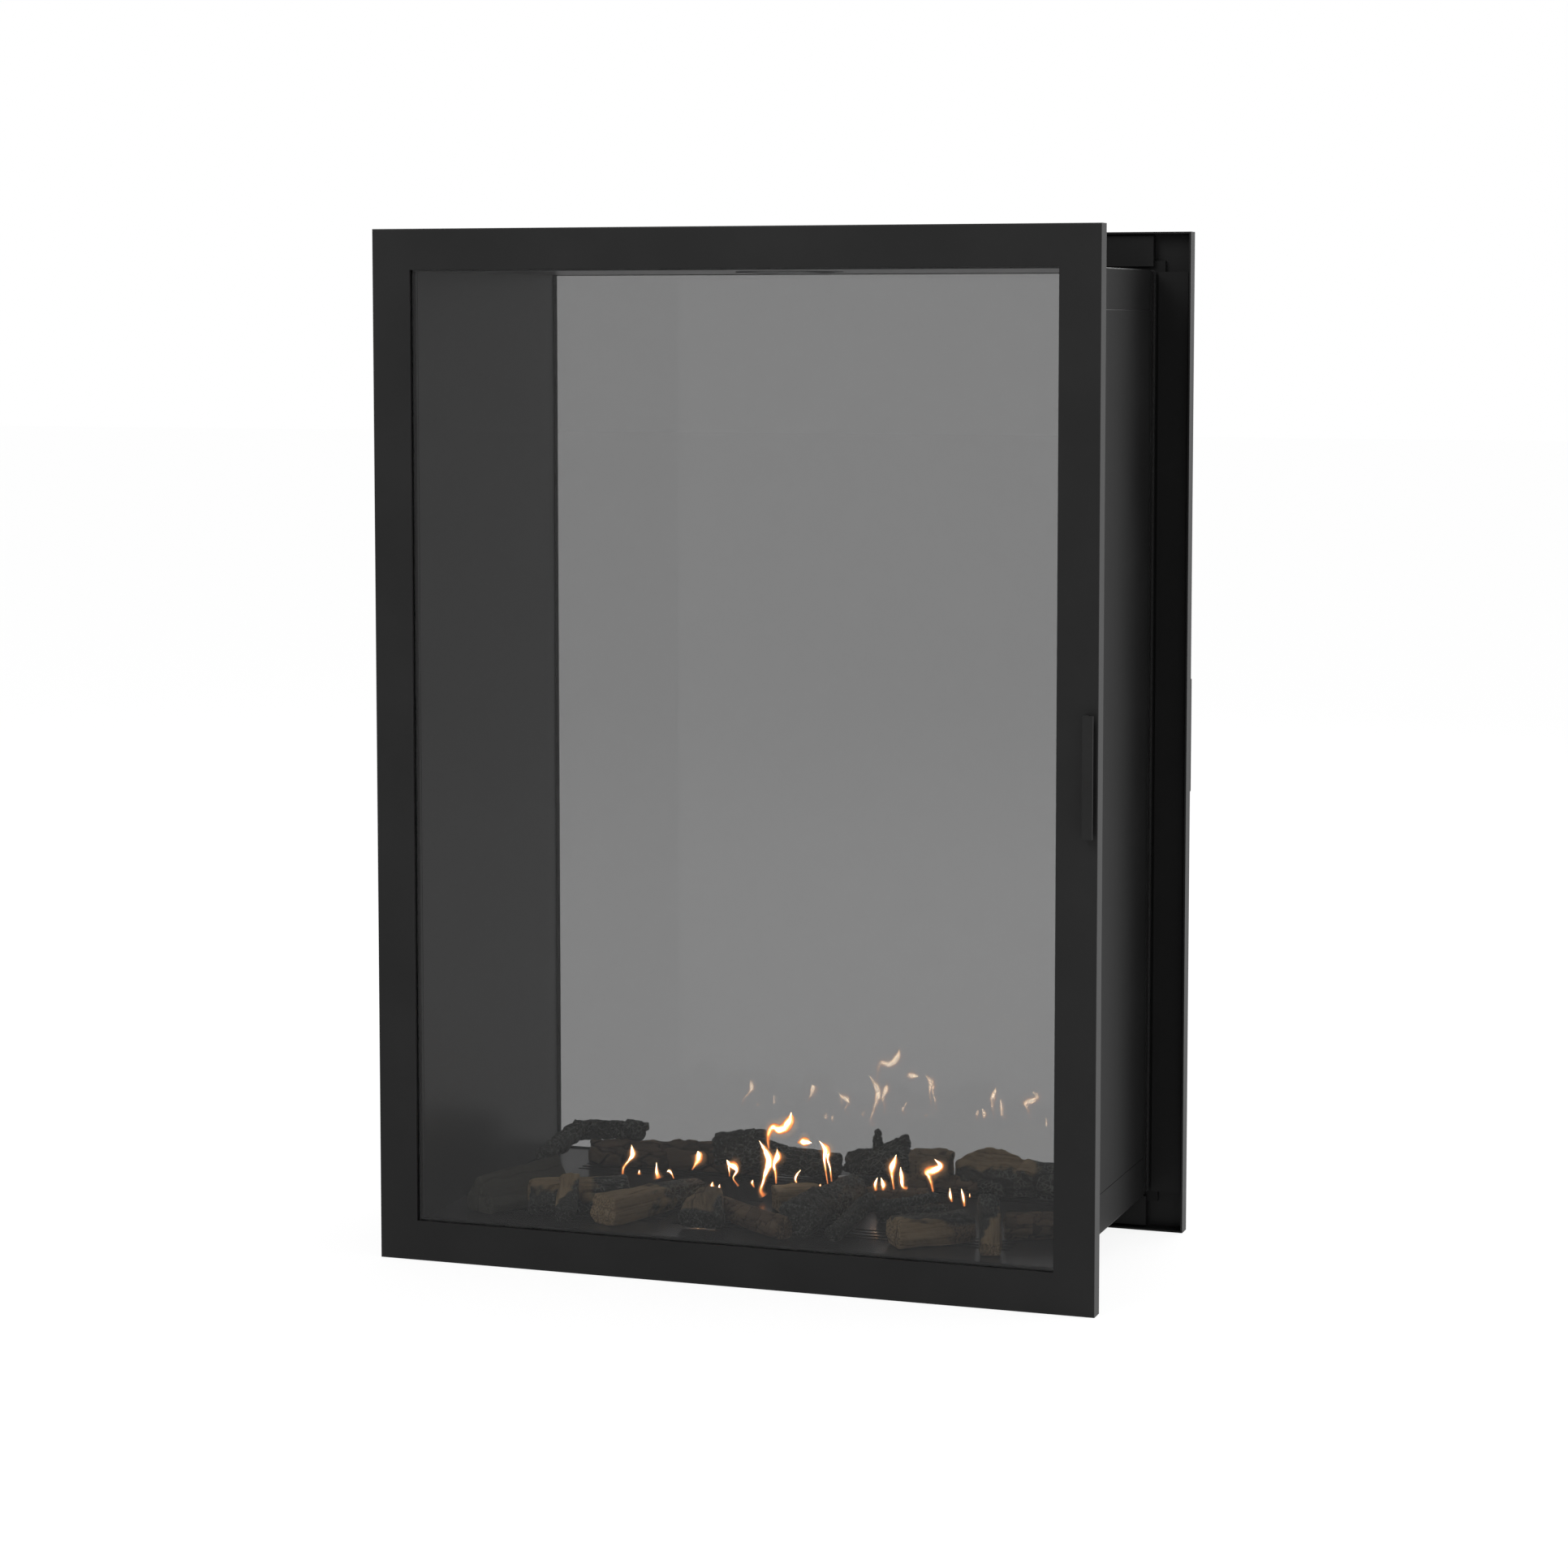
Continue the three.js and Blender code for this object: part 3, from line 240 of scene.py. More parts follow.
def powder_coat(name, level, roughness, sheen=1.3, grain=900.0, relief=0.06, mottle=0.12):
    """A sprayed and baked black coat: faint orange peel, and a slow drift in tone and gloss."""
    material, shader = new_material(name)
    place = shader.node("ShaderNodeTexCoord").outputs["Object"]
    drift = shader.node("ShaderNodeTexNoise", Vector=place, Scale=9.0, Detail=3.0).outputs["Fac"]
    tone = shader.ramp(drift, (0.3, grey(level * (1 - mottle))), (0.7, grey(level * (1 + mottle))))
    gloss = shader.fade(drift, 0.0, 1.0, roughness - COAT_DRIFT, roughness + COAT_DRIFT)
    peel = shader.node("ShaderNodeTexNoise", Vector=place, Scale=grain, Detail=1.0)
    bump = shader.node("ShaderNodeBump", Height=peel.outputs["Fac"], Strength=relief, Distance=0.0004)
    surface = shader.node(
        "ShaderNodeBsdfPrincipled", Base_Color=tone, Roughness=gloss, IOR=sheen, Normal=bump.outputs["Normal"]
    )
    shader.node("ShaderNodeOutputMaterial", Surface=surface.outputs[0])
    return material


def finish_node(material, *names):
    for name in names:
        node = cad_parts[name]
        node.data.materials.clear()
        node.data.materials.append(material)
        node.data.shade_smooth()
        node.data.set_sharp_from_angle(angle=SMOOTH_ANGLE)


casing_coat = powder_coat("casing_coat", CASING_GREY, 0.38, sheen=1.108)
finish_node(casing_coat, "casing_top", "casing_base", "casing_side_left", "casing_side_right", "plinth_tray")

# Lining
# Two side walls and a ceiling of steel sheet, in a satin black stove enamel that mirrors the logs
# softly. They are stepped thinner at both ends, where the rope seals lie.

LINING_GREY = 0.017
lining_enamel = powder_coat("lining_enamel", LINING_GREY, 0.3, sheen=1.4, grain=160.0, relief=0.01)
finish_node(lining_enamel, "lining_left", "lining_right", "lining_ceiling")

# Deck
# A burner plate with a row of ports between two decks punched with long air slots, all in the same
# enamel but glossier, so that the slots and flames are mirrored in it.

DECK_GREY = 0.035
deck_enamel = powder_coat("deck_enamel", DECK_GREY, 0.25, sheen=1.4, grain=160.0, relief=0.01)
finish_node(deck_enamel, "air_deck_front", "air_deck_rear", "burner_deck")

# Burner, gas pipe, pilot and flue
# A pressed trough under the ports, its pipe with a union nut, the pilot with its spark electrode,
# and the two flue rings, all in plain zinc-plated or stainless steel.

STEEL = (0.42, 0.425, 0.43, 1)
DRAWN_DRIFT = 0.08  # how far the steel's roughness strays
DRAWN_LINES = (60, 60, 1400)  # the drawing lines' pitch along the two sheet directions and across them


def plain_steel(name, colour, roughness):
    """Drawn steel: fine lines in gloss and relief, and a blotchy tarnish."""
    material, shader = new_material(name)
    place = shader.node("ShaderNodeTexCoord").outputs["Object"]
    drawn = shader.node("ShaderNodeMapping", Vector=place, Scale=DRAWN_LINES).outputs[0]
    lines = shader.node("ShaderNodeTexNoise", Vector=drawn, Scale=1.0, Detail=3.0).outputs["Fac"]
    stain = shader.node("ShaderNodeTexNoise", Vector=place, Scale=35.0, Detail=4.0).outputs["Fac"]
    bump = shader.node("ShaderNodeBump", Height=lines, Strength=0.05, Distance=0.0003)
    surface = shader.node(
        "ShaderNodeBsdfPrincipled",
        Base_Color=shader.ramp(stain, (0.35, shade(colour, 0.8)), (0.65, colour)),
        Metallic=1.0,
        Roughness=shader.fade(lines, 0.0, 1.0, roughness - DRAWN_DRIFT, roughness + DRAWN_DRIFT),
        Normal=bump.outputs["Normal"],
    )
    shader.node("ShaderNodeOutputMaterial", Surface=surface.outputs[0])
    return material


flue_steel = plain_steel("flue_steel", STEEL, 0.35)
finish_node(flue_steel, "burner_trough", "gas_pipe", "pilot_burner", "flue_collar", "flue_spigot")

# Logs
# Cast ceramic logs, painted by hand as bark, as split wood and as char. Each is carved from its
# solid: bark in plates, split wood in long fibres, and char in small blocks. Many of them are burnt
# at one side or one end.

LOG_SEED = 1  # without a seed, noise_vector starts from the clock and each run carves other cracks
LOG_VOXEL = 0.0016
LOG_FLAT = 0.004  # over this height above its lowest point, a log's carving fades in
LOG_THIN = 0.13  # the carving's greatest depth against the log's thickness there
BURNT_EDGE = 0.13  # softness of the edge between plain and burnt wood
BURNT_WANDER = ((0.20, 34), (0.16, 120))  # how far that edge strays, and its waves per metre
CRACK_WAVE = 60  # waves per metre in the lines between plates
CRACK_BEND = 0.0025  # and how far they bend
CRACK_SHARP = 2.6  # how soon a plate is level beside a crack
FIBRE_GRAIN = (12, 330)  # waves per metre along the log and across it
SPLIT_GRAIN = (6, 70)
END_GRAIN = (5, 170)
END_TEAR = 0.0012  # depth of the grain in a torn end
HOLLOW_WAVE = 34  # hollows per metre
HOLLOW_SHARE = 0.8
ROUGH_WAVE = 300  # grains of the fine roughness per metre
ROUGH_DEPTH = 0.0004
TINT_CELL = 7.3  # spreads the plates' places, so that each plate has a tint of its own
LOG_APART = (0.37, 0.11, 0.23)  # from one log's place in the noise to the next one's
LOG_RELIEF = {
    # kind: plate length and width, depth of cracks, of grooves and of hollows, and how far it swells
    "plated": (0.036, 0.019, 0.0034, 0.0005, 0.0024, 0.0012),
    "bark": (0.020, 0.012, 0.0014, 0.0007, 0.0022, 0.0008),
    "char": (0.015, 0.011, 0.0026, 0.0007, 0.0034, 0.0018),
    "split": (0.450, 0.030, 0.0006, 0.0004, 0.0010, 0.0004),
}
LOG_BARK_END = ("log_split_front", (1, 0.2, 0.1), 0.42)  # a split log whose right end has its bark
LOG_BURNS = {
    # log: where it is burnt, each a direction and how far along it the burn starts, from -1 to 1
    "log_split_left": [((0, -0.5, -1), 0.0), ((1, 0, 0), 0.35)],
    "log_split_leaning": [((1, 0, -0.15), 0.0)],
    "log_split_pale": [((0.25, 1, 0), 0.15), ((1, 0, 0), 0.35)],
    "log_split_short": [((0, -0.4, -1), 0.1), ((1, 0, 0), 0.4)],
    "log_split_peak": [((0, -0.5, -0.9), -0.25), ((1, 0, 0), 0.3)],
    "log_split_upright": [((-1, 0, 0), -0.15)],
    "log_split_front": [((0, 0.3, 1), 0.35)],
    "log_bark_long": [((1, 0, 0.2), 0.75)],
}
LOG_LOOKS = {
    # log: its paint, where that isn't the one its name gives
    "log_bark_long": "plated",
    "log_bark_block": "brown",
    "log_split_short": "brown",
    "log_split_large": "smoked",
}


def log_axes(points):
    """The log's middle, and a turn whose first direction runs along it."""
    middle = points.mean(axis=0)
    directions = np.linalg.svd(points - middle, full_matrices=False)[2]
    along = Vector(directions[0])
    if along.x + along.y < 0:
        along = -along
    across = Vector((0, 0, 1)).cross(along).normalized()
    return Vector(middle), Matrix((along, across, along.cross(across))).transposed()


def fine_copy(node):
    """The solid's surface again, in small even faces."""
    copy = bpy.data.objects.new("fine_copy", node.data.copy())
    bpy.context.scene.collection.objects.link(copy)
    remesh = copy.modifiers.new("voxels", "REMESH")
    remesh.mode = "VOXEL"
    remesh.voxel_size = LOG_VOXEL
    relax = copy.modifiers.new("relax", "SMOOTH")
    relax.iterations = 1
    mesh = bpy.data.meshes.new_from_object(copy.evaluated_get(bpy.context.evaluated_depsgraph_get()))
    bpy.data.objects.remove(copy)
    return mesh


def grain_noise(place, grain):
    """Noise drawn out along the log."""
    along, across = grain
    return noise.noise(Vector((place.x * along, place.y * across, place.z * across)))


def zone_share(zones, place, middle, points):
    """How far a place lies inside any of a log's zones, from 0 to 1."""
    wander = sum(share * noise.noise(place * waves) for share, waves in BURNT_WANDER)
    inside = 0.0
    for toward, start in zones:
        toward = Vector(toward).normalized()
        reach = float(np.abs((points - np.array(middle)) @ np.array(toward)).max())
        inside = max(inside, (toward.dot(place - middle) / reach + wander - start) / BURNT_EDGE)
    return min(1.0, inside)


def carve_log(name, seed):
    """A log carved from its solid, with what its paint needs to know written at each point."""
    kind = name.split("_")[1]
    relief = LOG_LOOKS.get(name) if LOG_LOOKS.get(name) in LOG_RELIEF else kind
    cell_length, cell_width, crack, groove, hollow, swell = LOG_RELIEF[relief]
    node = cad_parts[name]
    solid = BVHTree.FromObject(node, bpy.context.evaluated_depsgraph_get())
    points = np.array([v.co[:] for v in node.data.vertices])
    middle, turn = log_axes(points)
    inverse = turn.transposed()
    burns = LOG_BURNS.get(name, [])
    bark_ends = [LOG_BARK_END[1:]] if name == LOG_BARK_END[0] else []
    mesh = fine_copy(node)
    low = min(v.co.z for v in mesh.vertices)
    offset = Vector([seed * apart for apart in LOG_APART])
    layers = {"plate": [], "burnt": [], "barked": [], "tint": []}
    carved = []
    for vertex in mesh.vertices:
        local = inverse @ (vertex.co - middle)
        place = local + offset
        wavy = place + noise.noise_vector(place * CRACK_WAVE) * CRACK_BEND
        distances, centres = noise.voronoi(
            Vector((wavy.x / cell_length, wavy.y / cell_width, wavy.z / cell_width)),
            distance_metric="CHEBYCHEV",
        )
        plate = min(1.0, (distances[1] - distances[0]) * CRACK_SHARP)
        fibre = grain_noise(place, FIBRE_GRAIN)
        split = grain_noise(place, SPLIT_GRAIN)
        depth = crack * (1 - plate) ** 3 - swell + groove * (fibre + abs(split) * 2 - 0.5)
        hollows = hollow * noise.noise(place * HOLLOW_WAVE) * HOLLOW_SHARE
        depth += hollows + ROUGH_DEPTH * noise.noise(place * ROUGH_WAVE)
        end = abs((inverse @ vertex.normal).x)
        depth += END_TEAR * end * grain_noise(place, END_GRAIN)
        far_side = solid.ray_cast(vertex.co - vertex.normal * LOG_VOXEL * 2, -vertex.normal)[3]
        depth = min(depth, LOG_THIN * (far_side or 0.0))
        rest = min(1.0, (vertex.co.z - low) / LOG_FLAT)
        carved.append(inverse @ (vertex.co - vertex.normal * depth * rest - middle))
        layers["plate"].append(plate)
        layers["burnt"].append(1.0 if kind == "char" else zone_share(burns, vertex.co, middle, points))
        layers["barked"].append(zone_share(bark_ends, vertex.co, middle, points))
        layers["tint"].append(0.5 + 0.5 * noise.cell(centres[0] * TINT_CELL))
    for vertex, place in zip(mesh.vertices, carved):
        vertex.co = place
    for label, values in layers.items():
        mesh.attributes.new(label, "FLOAT", "POINT").data.foreach_set("value", values)
    mesh.materials.clear()
    mesh.shade_smooth()
    log = bpy.data.objects.new(name + "_carved", mesh)
    bpy.context.scene.collection.objects.link(log)
    log.matrix_world = Matrix.Translation(middle) @ turn.to_4x4()
    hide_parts(name)
    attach(log, "firebox")
    return log


CHAR = (0.058, 0.060, 0.052, 1)
CHAR_PIT = (0.014, 0.015, 0.014, 1)
CHAR_LINE = (0.20, 0.205, 0.19, 1)
BARK = (0.26, 0.18, 0.12, 1)
BARK_CRACK = (0.035, 0.026, 0.02, 1)
BROWN_WOOD = (0.31, 0.23, 0.15, 1)
BROWN_CRACK = (0.09, 0.06, 0.038, 1)
SPLIT_WOOD = (0.47, 0.345, 0.205, 1)
SPLIT_CRACK = (0.17, 0.112, 0.062, 1)
SMOKED_WOOD = (0.10, 0.095, 0.075, 1)
SMOKED_CRACK = (0.04, 0.036, 0.028, 1)
CHAR_BLOCK = (130, 190, 190)  # burnt wood's fine cracks per metre, along the log and across it


def log_paint(name, wood, hollow, line_scale, streak=0.16, patch=0.12, crack=0.12):
    """Hand-painted ceramic: dark in the cracks, streaked along the grain, and charred where burnt."""
    material, shader = new_material(name)
    coordinates = shader.node("ShaderNodeTexCoord")
    place = coordinates.outputs["Object"]
    streaky = shader.node("ShaderNodeMapping", Vector=place, Scale=(0.05, 1, 1)).outputs[0]
    streaks = shader.node("ShaderNodeTexNoise", Vector=streaky, Scale=line_scale, Detail=4.0).outputs["Fac"]
    speckle = shader.node("ShaderNodeTexNoise", Vector=place, Scale=520.0, Detail=2.0).outputs["Fac"]
    cloud = shader.node("ShaderNodeTexNoise", Vector=place, Scale=22.0, Detail=3.0).outputs["Fac"]
    facing = shader.node("ShaderNodeSeparateXYZ", Vector=coordinates.outputs["Normal"]).outputs["X"]
    cut_end = shader.fade(shader.maths("ABSOLUTE", facing), 0.55, 0.85)
    plate = shader.node("ShaderNodeAttribute", {"attribute_name": "plate"}).outputs["Fac"]
    burnt = shader.node("ShaderNodeAttribute", {"attribute_name": "burnt"}).outputs["Fac"]
    tint = shader.node("ShaderNodeAttribute", {"attribute_name": "tint"}).outputs["Fac"]

    along = shader.ramp(
        streaks, (0.36, shade(wood, 1 - 2 * streak)), (0.5, wood), (0.68, shade(wood, 1 + streak))
    )
    across = shader.ramp(speckle, (0.4, shade(wood, 0.55)), (0.6, shade(wood, 1.3)))
    grain = shader.mix(cut_end, along, across)
    clouded = shader.mix(shader.fade(cloud, 0.45, 0.75, 0.0, patch), grain, hollow)
    varied = shader.mix(shader.fade(tint, 0.0, 1.0, 0.0, patch * 2), clouded, hollow)
    cracked = shader.mix(shader.fade(plate, 0.0, crack), hollow, varied)
    barked = shader.node("ShaderNodeAttribute", {"attribute_name": "barked"}).outputs["Fac"]
    rind = shader.ramp(speckle, (0.35, shade(BARK, 0.5)), (0.65, shade(BARK, 1.2)))
    plain = shader.mix(barked, cracked, rind)

    scaled = shader.node("ShaderNodeMapping", Vector=place, Scale=CHAR_BLOCK).outputs[0]
    waves = shader.node("ShaderNodeTexNoise", Vector=scaled, Scale=0.8, Detail=2.0).outputs["Color"]
    bent = shader.node("ShaderNodeVectorMath", {"operation": "ADD"})
    shader.put(bent, 0, scaled)
    shader.put(bent, 1, waves)
    blocks = shader.node("ShaderNodeTexVoronoi", {"feature": "DISTANCE_TO_EDGE"}, Scale=1.0)
    shader.put(blocks, "Vector", bent.outputs[0])
    thin_line = shader.fade(blocks.outputs["Distance"], 0.09, 0.03)
    shown = shader.fade(shader.maths("ADD", cloud, shader.maths("MULTIPLY", speckle, 0.9)), 0.84, 1.0)
    ash = shader.ramp(speckle, (0.4, shade(CHAR, 0.65)), (0.7, shade(CHAR, 1.5)))
    lined = shader.mix(shader.maths("MULTIPLY", thin_line, shown), ash, CHAR_LINE)
    coal = shader.mix(shader.fade(plate, 0.0, 0.12), CHAR_PIT, lined)

    lines = shader.maths("MULTIPLY", streaks, 0.7)
    grains = shader.maths("MULTIPLY", speckle, 0.3)
    height = shader.maths("ADD", lines, grains)
    bump = shader.node("ShaderNodeBump", Height=height, Strength=0.4, Distance=0.0012)
    surface = shader.node(
        "ShaderNodeBsdfPrincipled",
        Base_Color=shader.mix(burnt, plain, coal),
        Roughness=shader.fade(burnt, 0.0, 1.0, 0.88, 0.72),
        IOR=1.35,
        Normal=bump.outputs["Normal"],
    )
    shader.node("ShaderNodeOutputMaterial", Surface=surface.outputs[0])
    return material


LOG_PAINTS = {
    "bark": log_paint("painted_bark", BARK, BARK_CRACK, 160.0, streak=0.1, patch=0.2, crack=0.2),
    "plated": log_paint("painted_plates", BARK, BARK_CRACK, 160.0, streak=0.08, patch=0.2, crack=0.3),
    "brown": log_paint("painted_brown_wood", BROWN_WOOD, BROWN_CRACK, 210.0),
    "split": log_paint("painted_split_wood", SPLIT_WOOD, SPLIT_CRACK, 330.0),
    "smoked": log_paint("smoked_wood", SMOKED_WOOD, SMOKED_CRACK, 330.0, streak=0.08),
    "char": log_paint("painted_char", CHAR, CHAR_PIT, 160.0),
}

noise.seed_set(LOG_SEED)
for seed, name in enumerate(sorted(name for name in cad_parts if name.startswith("log_"))):
    log = carve_log(name, seed + 1)
    log.data.materials.append(LOG_PAINTS[LOG_LOOKS.get(name, name.split("_")[1])])

# Flames
# Small gas flames that stand along the burner ports and lick between the logs. Each is a thin
# tongue of light: white in its middle, orange at its rim, and clear at its foot. Round each lies a
# wider, fainter shell of painted glow.

# The photo's camera, fitted to the corners of both leaves: level, its horizon above the middle.
PHOTO_PLACE = (1.3417, -3.8999, 1.0086)
PHOTO_TURN = math.radians(19.078)
PHOTO_MIDDLE = 966  # pixels from the photo's left edge
PHOTO_HORIZON = 377.8  # pixels from the photo's top
PHOTO_FOCAL = 4681.1  # pixels
CROP_LEFT = 750  # the crop in which the flames were read, in the photo's pixels
CROP_TOP = 1380
CROP_ZOOM = 4

FLAMES_SEEN = {
    # from foot to tip: place across and down in the enlarged crop, and width, in its pixels
    "far_left": [(68, 266, 10), (74, 232, 12), (98, 200, 14), (118, 172, 26), (117, 148, 22), (113, 120, 5)],
    "left_ember": [(150, 268, 16), (151, 246, 6)],
    "left_thorn": [(246, 288, 26), (238, 258, 18), (236, 208, 5)],
    "left_curl": [(322, 290, 5), (312, 266, 9), (300, 251, 15), (288, 255, 5)],
    "left_leaf": [(412, 246, 5), (426, 224, 14), (444, 192, 32), (446, 168, 30), (440, 152, 8)],
    "hook": [(642, 328, 9), (616, 288, 8), (634, 252, 18), (620, 226, 34), (600, 218, 28), (584, 196, 6)],
    "hook_side": [(598, 280, 5), (596, 245, 10), (590, 212, 14)],
    "low_left": [(524, 356, 8), (512, 330, 20), (514, 306, 8)],
    "low_middle": [(556, 362, 6), (547, 340, 14), (549, 318, 6)],
    "low_right": [(720, 335, 6), (710, 312, 14), (714, 298, 5)],
    "tall": [
        (768, 380, 22),
        (752, 350, 18),
        (764, 310, 16),
        (778, 260, 24),
        (796, 205, 38),
        (776, 150, 26),
        (744, 100, 5),
    ],
    "tall_side": [(828, 316, 7), (826, 265, 14), (818, 220, 20), (836, 180, 34), (833, 140, 6)],
    "crest": [
        (792, 140, 8),
        (788, 95, 16),
        (796, 55, 26),
        (817, 33, 33),
        (847, 45, 37),
        (877, 29, 44),
        (899, -6, 35),
        (903, -42, 9),
    ],
    "middle_wisp": [(938, 326, 7), (924, 296, 12), (932, 270, 12), (950, 248, 5)],
    "middle_ember": [(1046, 332, 14), (1048, 318, 8)],
    "twin_left": [(1084, 318, 6), (1074, 250, 10), (1068, 190, 18), (1076, 144, 34), (1042, 102, 6)],
    "twin_right": [(1103, 306, 8), (1096, 240, 10), (1084, 190, 16), (1090, 150, 30)],
    "crest_trail": [(934, 110, 6), (955, 106, 30), (975, 106, 36), (1004, 112, 12)],
    "right_bud": [(1322, 352, 14), (1320, 320, 18), (1330, 288, 8)],
    "right_bud_side": [(1358, 350, 14), (1360, 320, 24), (1348, 288, 8)],
    "right_blade": [(1412, 346, 8), (1404, 290, 14), (1402, 240, 30), (1414, 205, 26), (1423, 172, 5)],
    "right_tongue": [(1478, 342, 14), (1456, 330, 18), (1450, 280, 22), (1444, 234, 8)],
    "right_hook": [
        (1606, 358, 8),
        (1598, 320, 14),
        (1586, 280, 22),
        (1584, 258, 40),
        (1620, 246, 34),
        (1644, 226, 28),
        (1612, 194, 6),
    ],
    "far_right": [(1700, 410, 8), (1692, 380, 16), (1690, 340, 6)],
    "end_wisp": [(1762, 432, 10), (1756, 384, 16), (1746, 344, 6)],
    "end_ember": [(1788, 388, 8), (1788, 368, 6)],
}
FLAME_STEPS = 7  # rings from each point of a flame to the next
FLAME_RIM = 12
FLAME_DEPTH = 0.45  # a flame's depth against its width
FLAME_WIDTH = 1.16  # a flame's width against the one that was read
FLAME_SWELL = 0.3  # how much the wide places gain on the thin ones
FLAME_MIDDLE = 0.005  # the width that neither gains nor loses
FLAME_MOST_SWELL = 1.5
FLAME_THINNEST = 0.0006
FLAME_TIP = 0.25  # the last ring's share of its width, from which the tip widens
FLAME_TIP_RINGS = 5  # rings over which a whole width would be gained
FLAME_COLOURS = (
    # heat, and the colour at that heat
    (0.0, (1, 0.12, 0.01, 1)),
    (0.25, (1, 0.25, 0.04, 1)),
    (0.5, (1, 0.50, 0.17, 1)),
    (0.85, (1, 0.78, 0.52, 1)),
)
FLAME_STRENGTHS = ((0.0, 1.2), (0.3, 2.6), (0.55, 8.0), (0.8, 44.0))  # heat, and the light's strength
# The painted glow: a wider, faint orange shell round each flame that gives light where nothing real glows.
PAINTED_GLOW_COLOUR = (1, 0.52, 0.24, 1)
PAINTED_GLOW_STRENGTH = 2.4
PAINTED_GLOW_SPREAD = 2.3  # the faint glow's width against the flame's
PAINTED_GLOW_COVER = 0.16


def in_row(across, down, width):
    """A point read in the crop as x, z and width in metres, in the burner row's upright plane."""
    aside = (CROP_LEFT + across / CROP_ZOOM - PHOTO_MIDDLE) / PHOTO_FOCAL
    below = (CROP_TOP + down / CROP_ZOOM - PHOTO_HORIZON) / PHOTO_FOCAL
    cosine = math.cos(PHOTO_TURN)
    sine = math.sin(PHOTO_TURN)
    camera_x, camera_y, camera_z = PHOTO_PLACE
    reach = -camera_y / (cosine + sine * aside)
    x = camera_x + reach * (cosine * aside - sine)
    return x, camera_z - below * reach, width / CROP_ZOOM / PHOTO_FOCAL * reach


def flame_rings(course):
    """Smooth places and widths along a flame's course, in metres."""
    points = np.array([in_row(*point) for point in course])
    points = np.vstack([2 * points[0] - points[1], points, 2 * points[-1] - points[-2]])
    rings = []
    for k in range(1, len(points) - 2):
        before, start, end, after = points[k - 1 : k + 3]
        for step in range(FLAME_STEPS):
            t = step / FLAME_STEPS
            early = (2 * before - 5 * start + 4 * end - after) * t * t
            late = (3 * (start - end) + after - before) * t**3
            bend = early + late
            rings.append(start + 0.5 * ((end - before) * t + bend))
    return rings + [points[-2]]


def flame(name, course, spread):
    """A closed tongue along its course, flat from front to back, that knows its rise and its rim."""
    rings = flame_rings(course)
    vertices, faces, rise, rim = [], [], [], []
    for k, (x, z, width) in enumerate(rings):
        ahead = rings[min(k + 1, len(rings) - 1)]
        behind = rings[max(k - 1, 0)]
        along = Vector((ahead[0] - behind[0], 0, ahead[1] - behind[1])).normalized()
        side = Vector((along.z, 0, -along.x))
        width = max(width, FLAME_THINNEST)
        swell = min(FLAME_MOST_SWELL, width / FLAME_MIDDLE) ** FLAME_SWELL
        taper = min(1, FLAME_TIP + (len(rings) - 1 - k) / FLAME_TIP_RINGS)
        radius = width / 2 * FLAME_WIDTH * swell * spread * taper
        for i in range(FLAME_RIM):
            angle = 2 * math.pi * i / FLAME_RIM
            place = Vector((x, 0, z)) + side * radius * math.cos(angle)
            place.y = radius * FLAME_DEPTH * math.sin(angle)
            vertices.append(place)
            rise.append(k / (len(rings) - 1))
            rim.append(abs(math.cos(angle)))
    for k in range(len(rings) - 1):
        for i in range(FLAME_RIM):
            corner = k * FLAME_RIM + i
            beside = k * FLAME_RIM + (i + 1) % FLAME_RIM
            faces.append((corner, corner + FLAME_RIM, beside + FLAME_RIM, beside))
    last = (len(rings) - 1) * FLAME_RIM
    faces.append(tuple(range(FLAME_RIM)))
    faces.append(tuple(range(last + FLAME_RIM - 1, last - 1, -1)))
    made = mesh_object(name, vertices, faces)
    for label, values in (("rise", rise), ("rim", rim)):
        made.data.attributes.new(label, "FLOAT", "POINT").data.foreach_set("value", values)
    made.data.shade_smooth()
    return made


flame_light, shader = new_material("flame_light")
rise = shader.node("ShaderNodeAttribute", {"attribute_name": "rise"}).outputs["Fac"]
rim = shader.node("ShaderNodeAttribute", {"attribute_name": "rim"}).outputs["Fac"]
place = shader.node("ShaderNodeTexCoord").outputs["Object"]
flicker = shader.node("ShaderNodeTexNoise", Vector=place, Scale=110.0, Detail=1.0).outputs["Fac"]
body_heat = shader.maths("MULTIPLY", shader.fade(rim, 1.0, 0.15), shader.fade(rise, 0.0, 0.5, 0.2, 1.0))
heat = shader.maths("MULTIPLY", body_heat, shader.fade(flicker, 0.35, 0.6, 0.6, 1.0))
glow = shader.node(
    "ShaderNodeEmission",
    Color=shader.ramp(heat, *FLAME_COLOURS),
    Strength=shader.ramp(heat, *[(warmth, grey(strength)) for warmth, strength in FLAME_STRENGTHS]),
)
air = shader.node("ShaderNodeBsdfTransparent")
body = shader.blend("ShaderNodeMixShader", shader.fade(heat, 0.0, 0.3, 0.05, 1.0), air, glow)
shader.node("ShaderNodeOutputMaterial", Surface=body.outputs[0])

# Painted glow round each flame: a faint orange light that fades out toward the shell's rim.
flame_painted_glow, shader = new_material("flame_painted_glow")
rim = shader.node("ShaderNodeAttribute", {"attribute_name": "rim"}).outputs["Fac"]
thick = shader.maths("POWER", shader.maths("SUBTRACT", 1.0, rim), 1.6)
glow = shader.node("ShaderNodeEmission", Color=PAINTED_GLOW_COLOUR, Strength=PAINTED_GLOW_STRENGTH)
air = shader.node("ShaderNodeBsdfTransparent")
body = shader.blend("ShaderNodeMixShader", shader.maths("MULTIPLY", thick, PAINTED_GLOW_COVER), air, glow)
shader.node("ShaderNodeOutputMaterial", Surface=body.outputs[0])

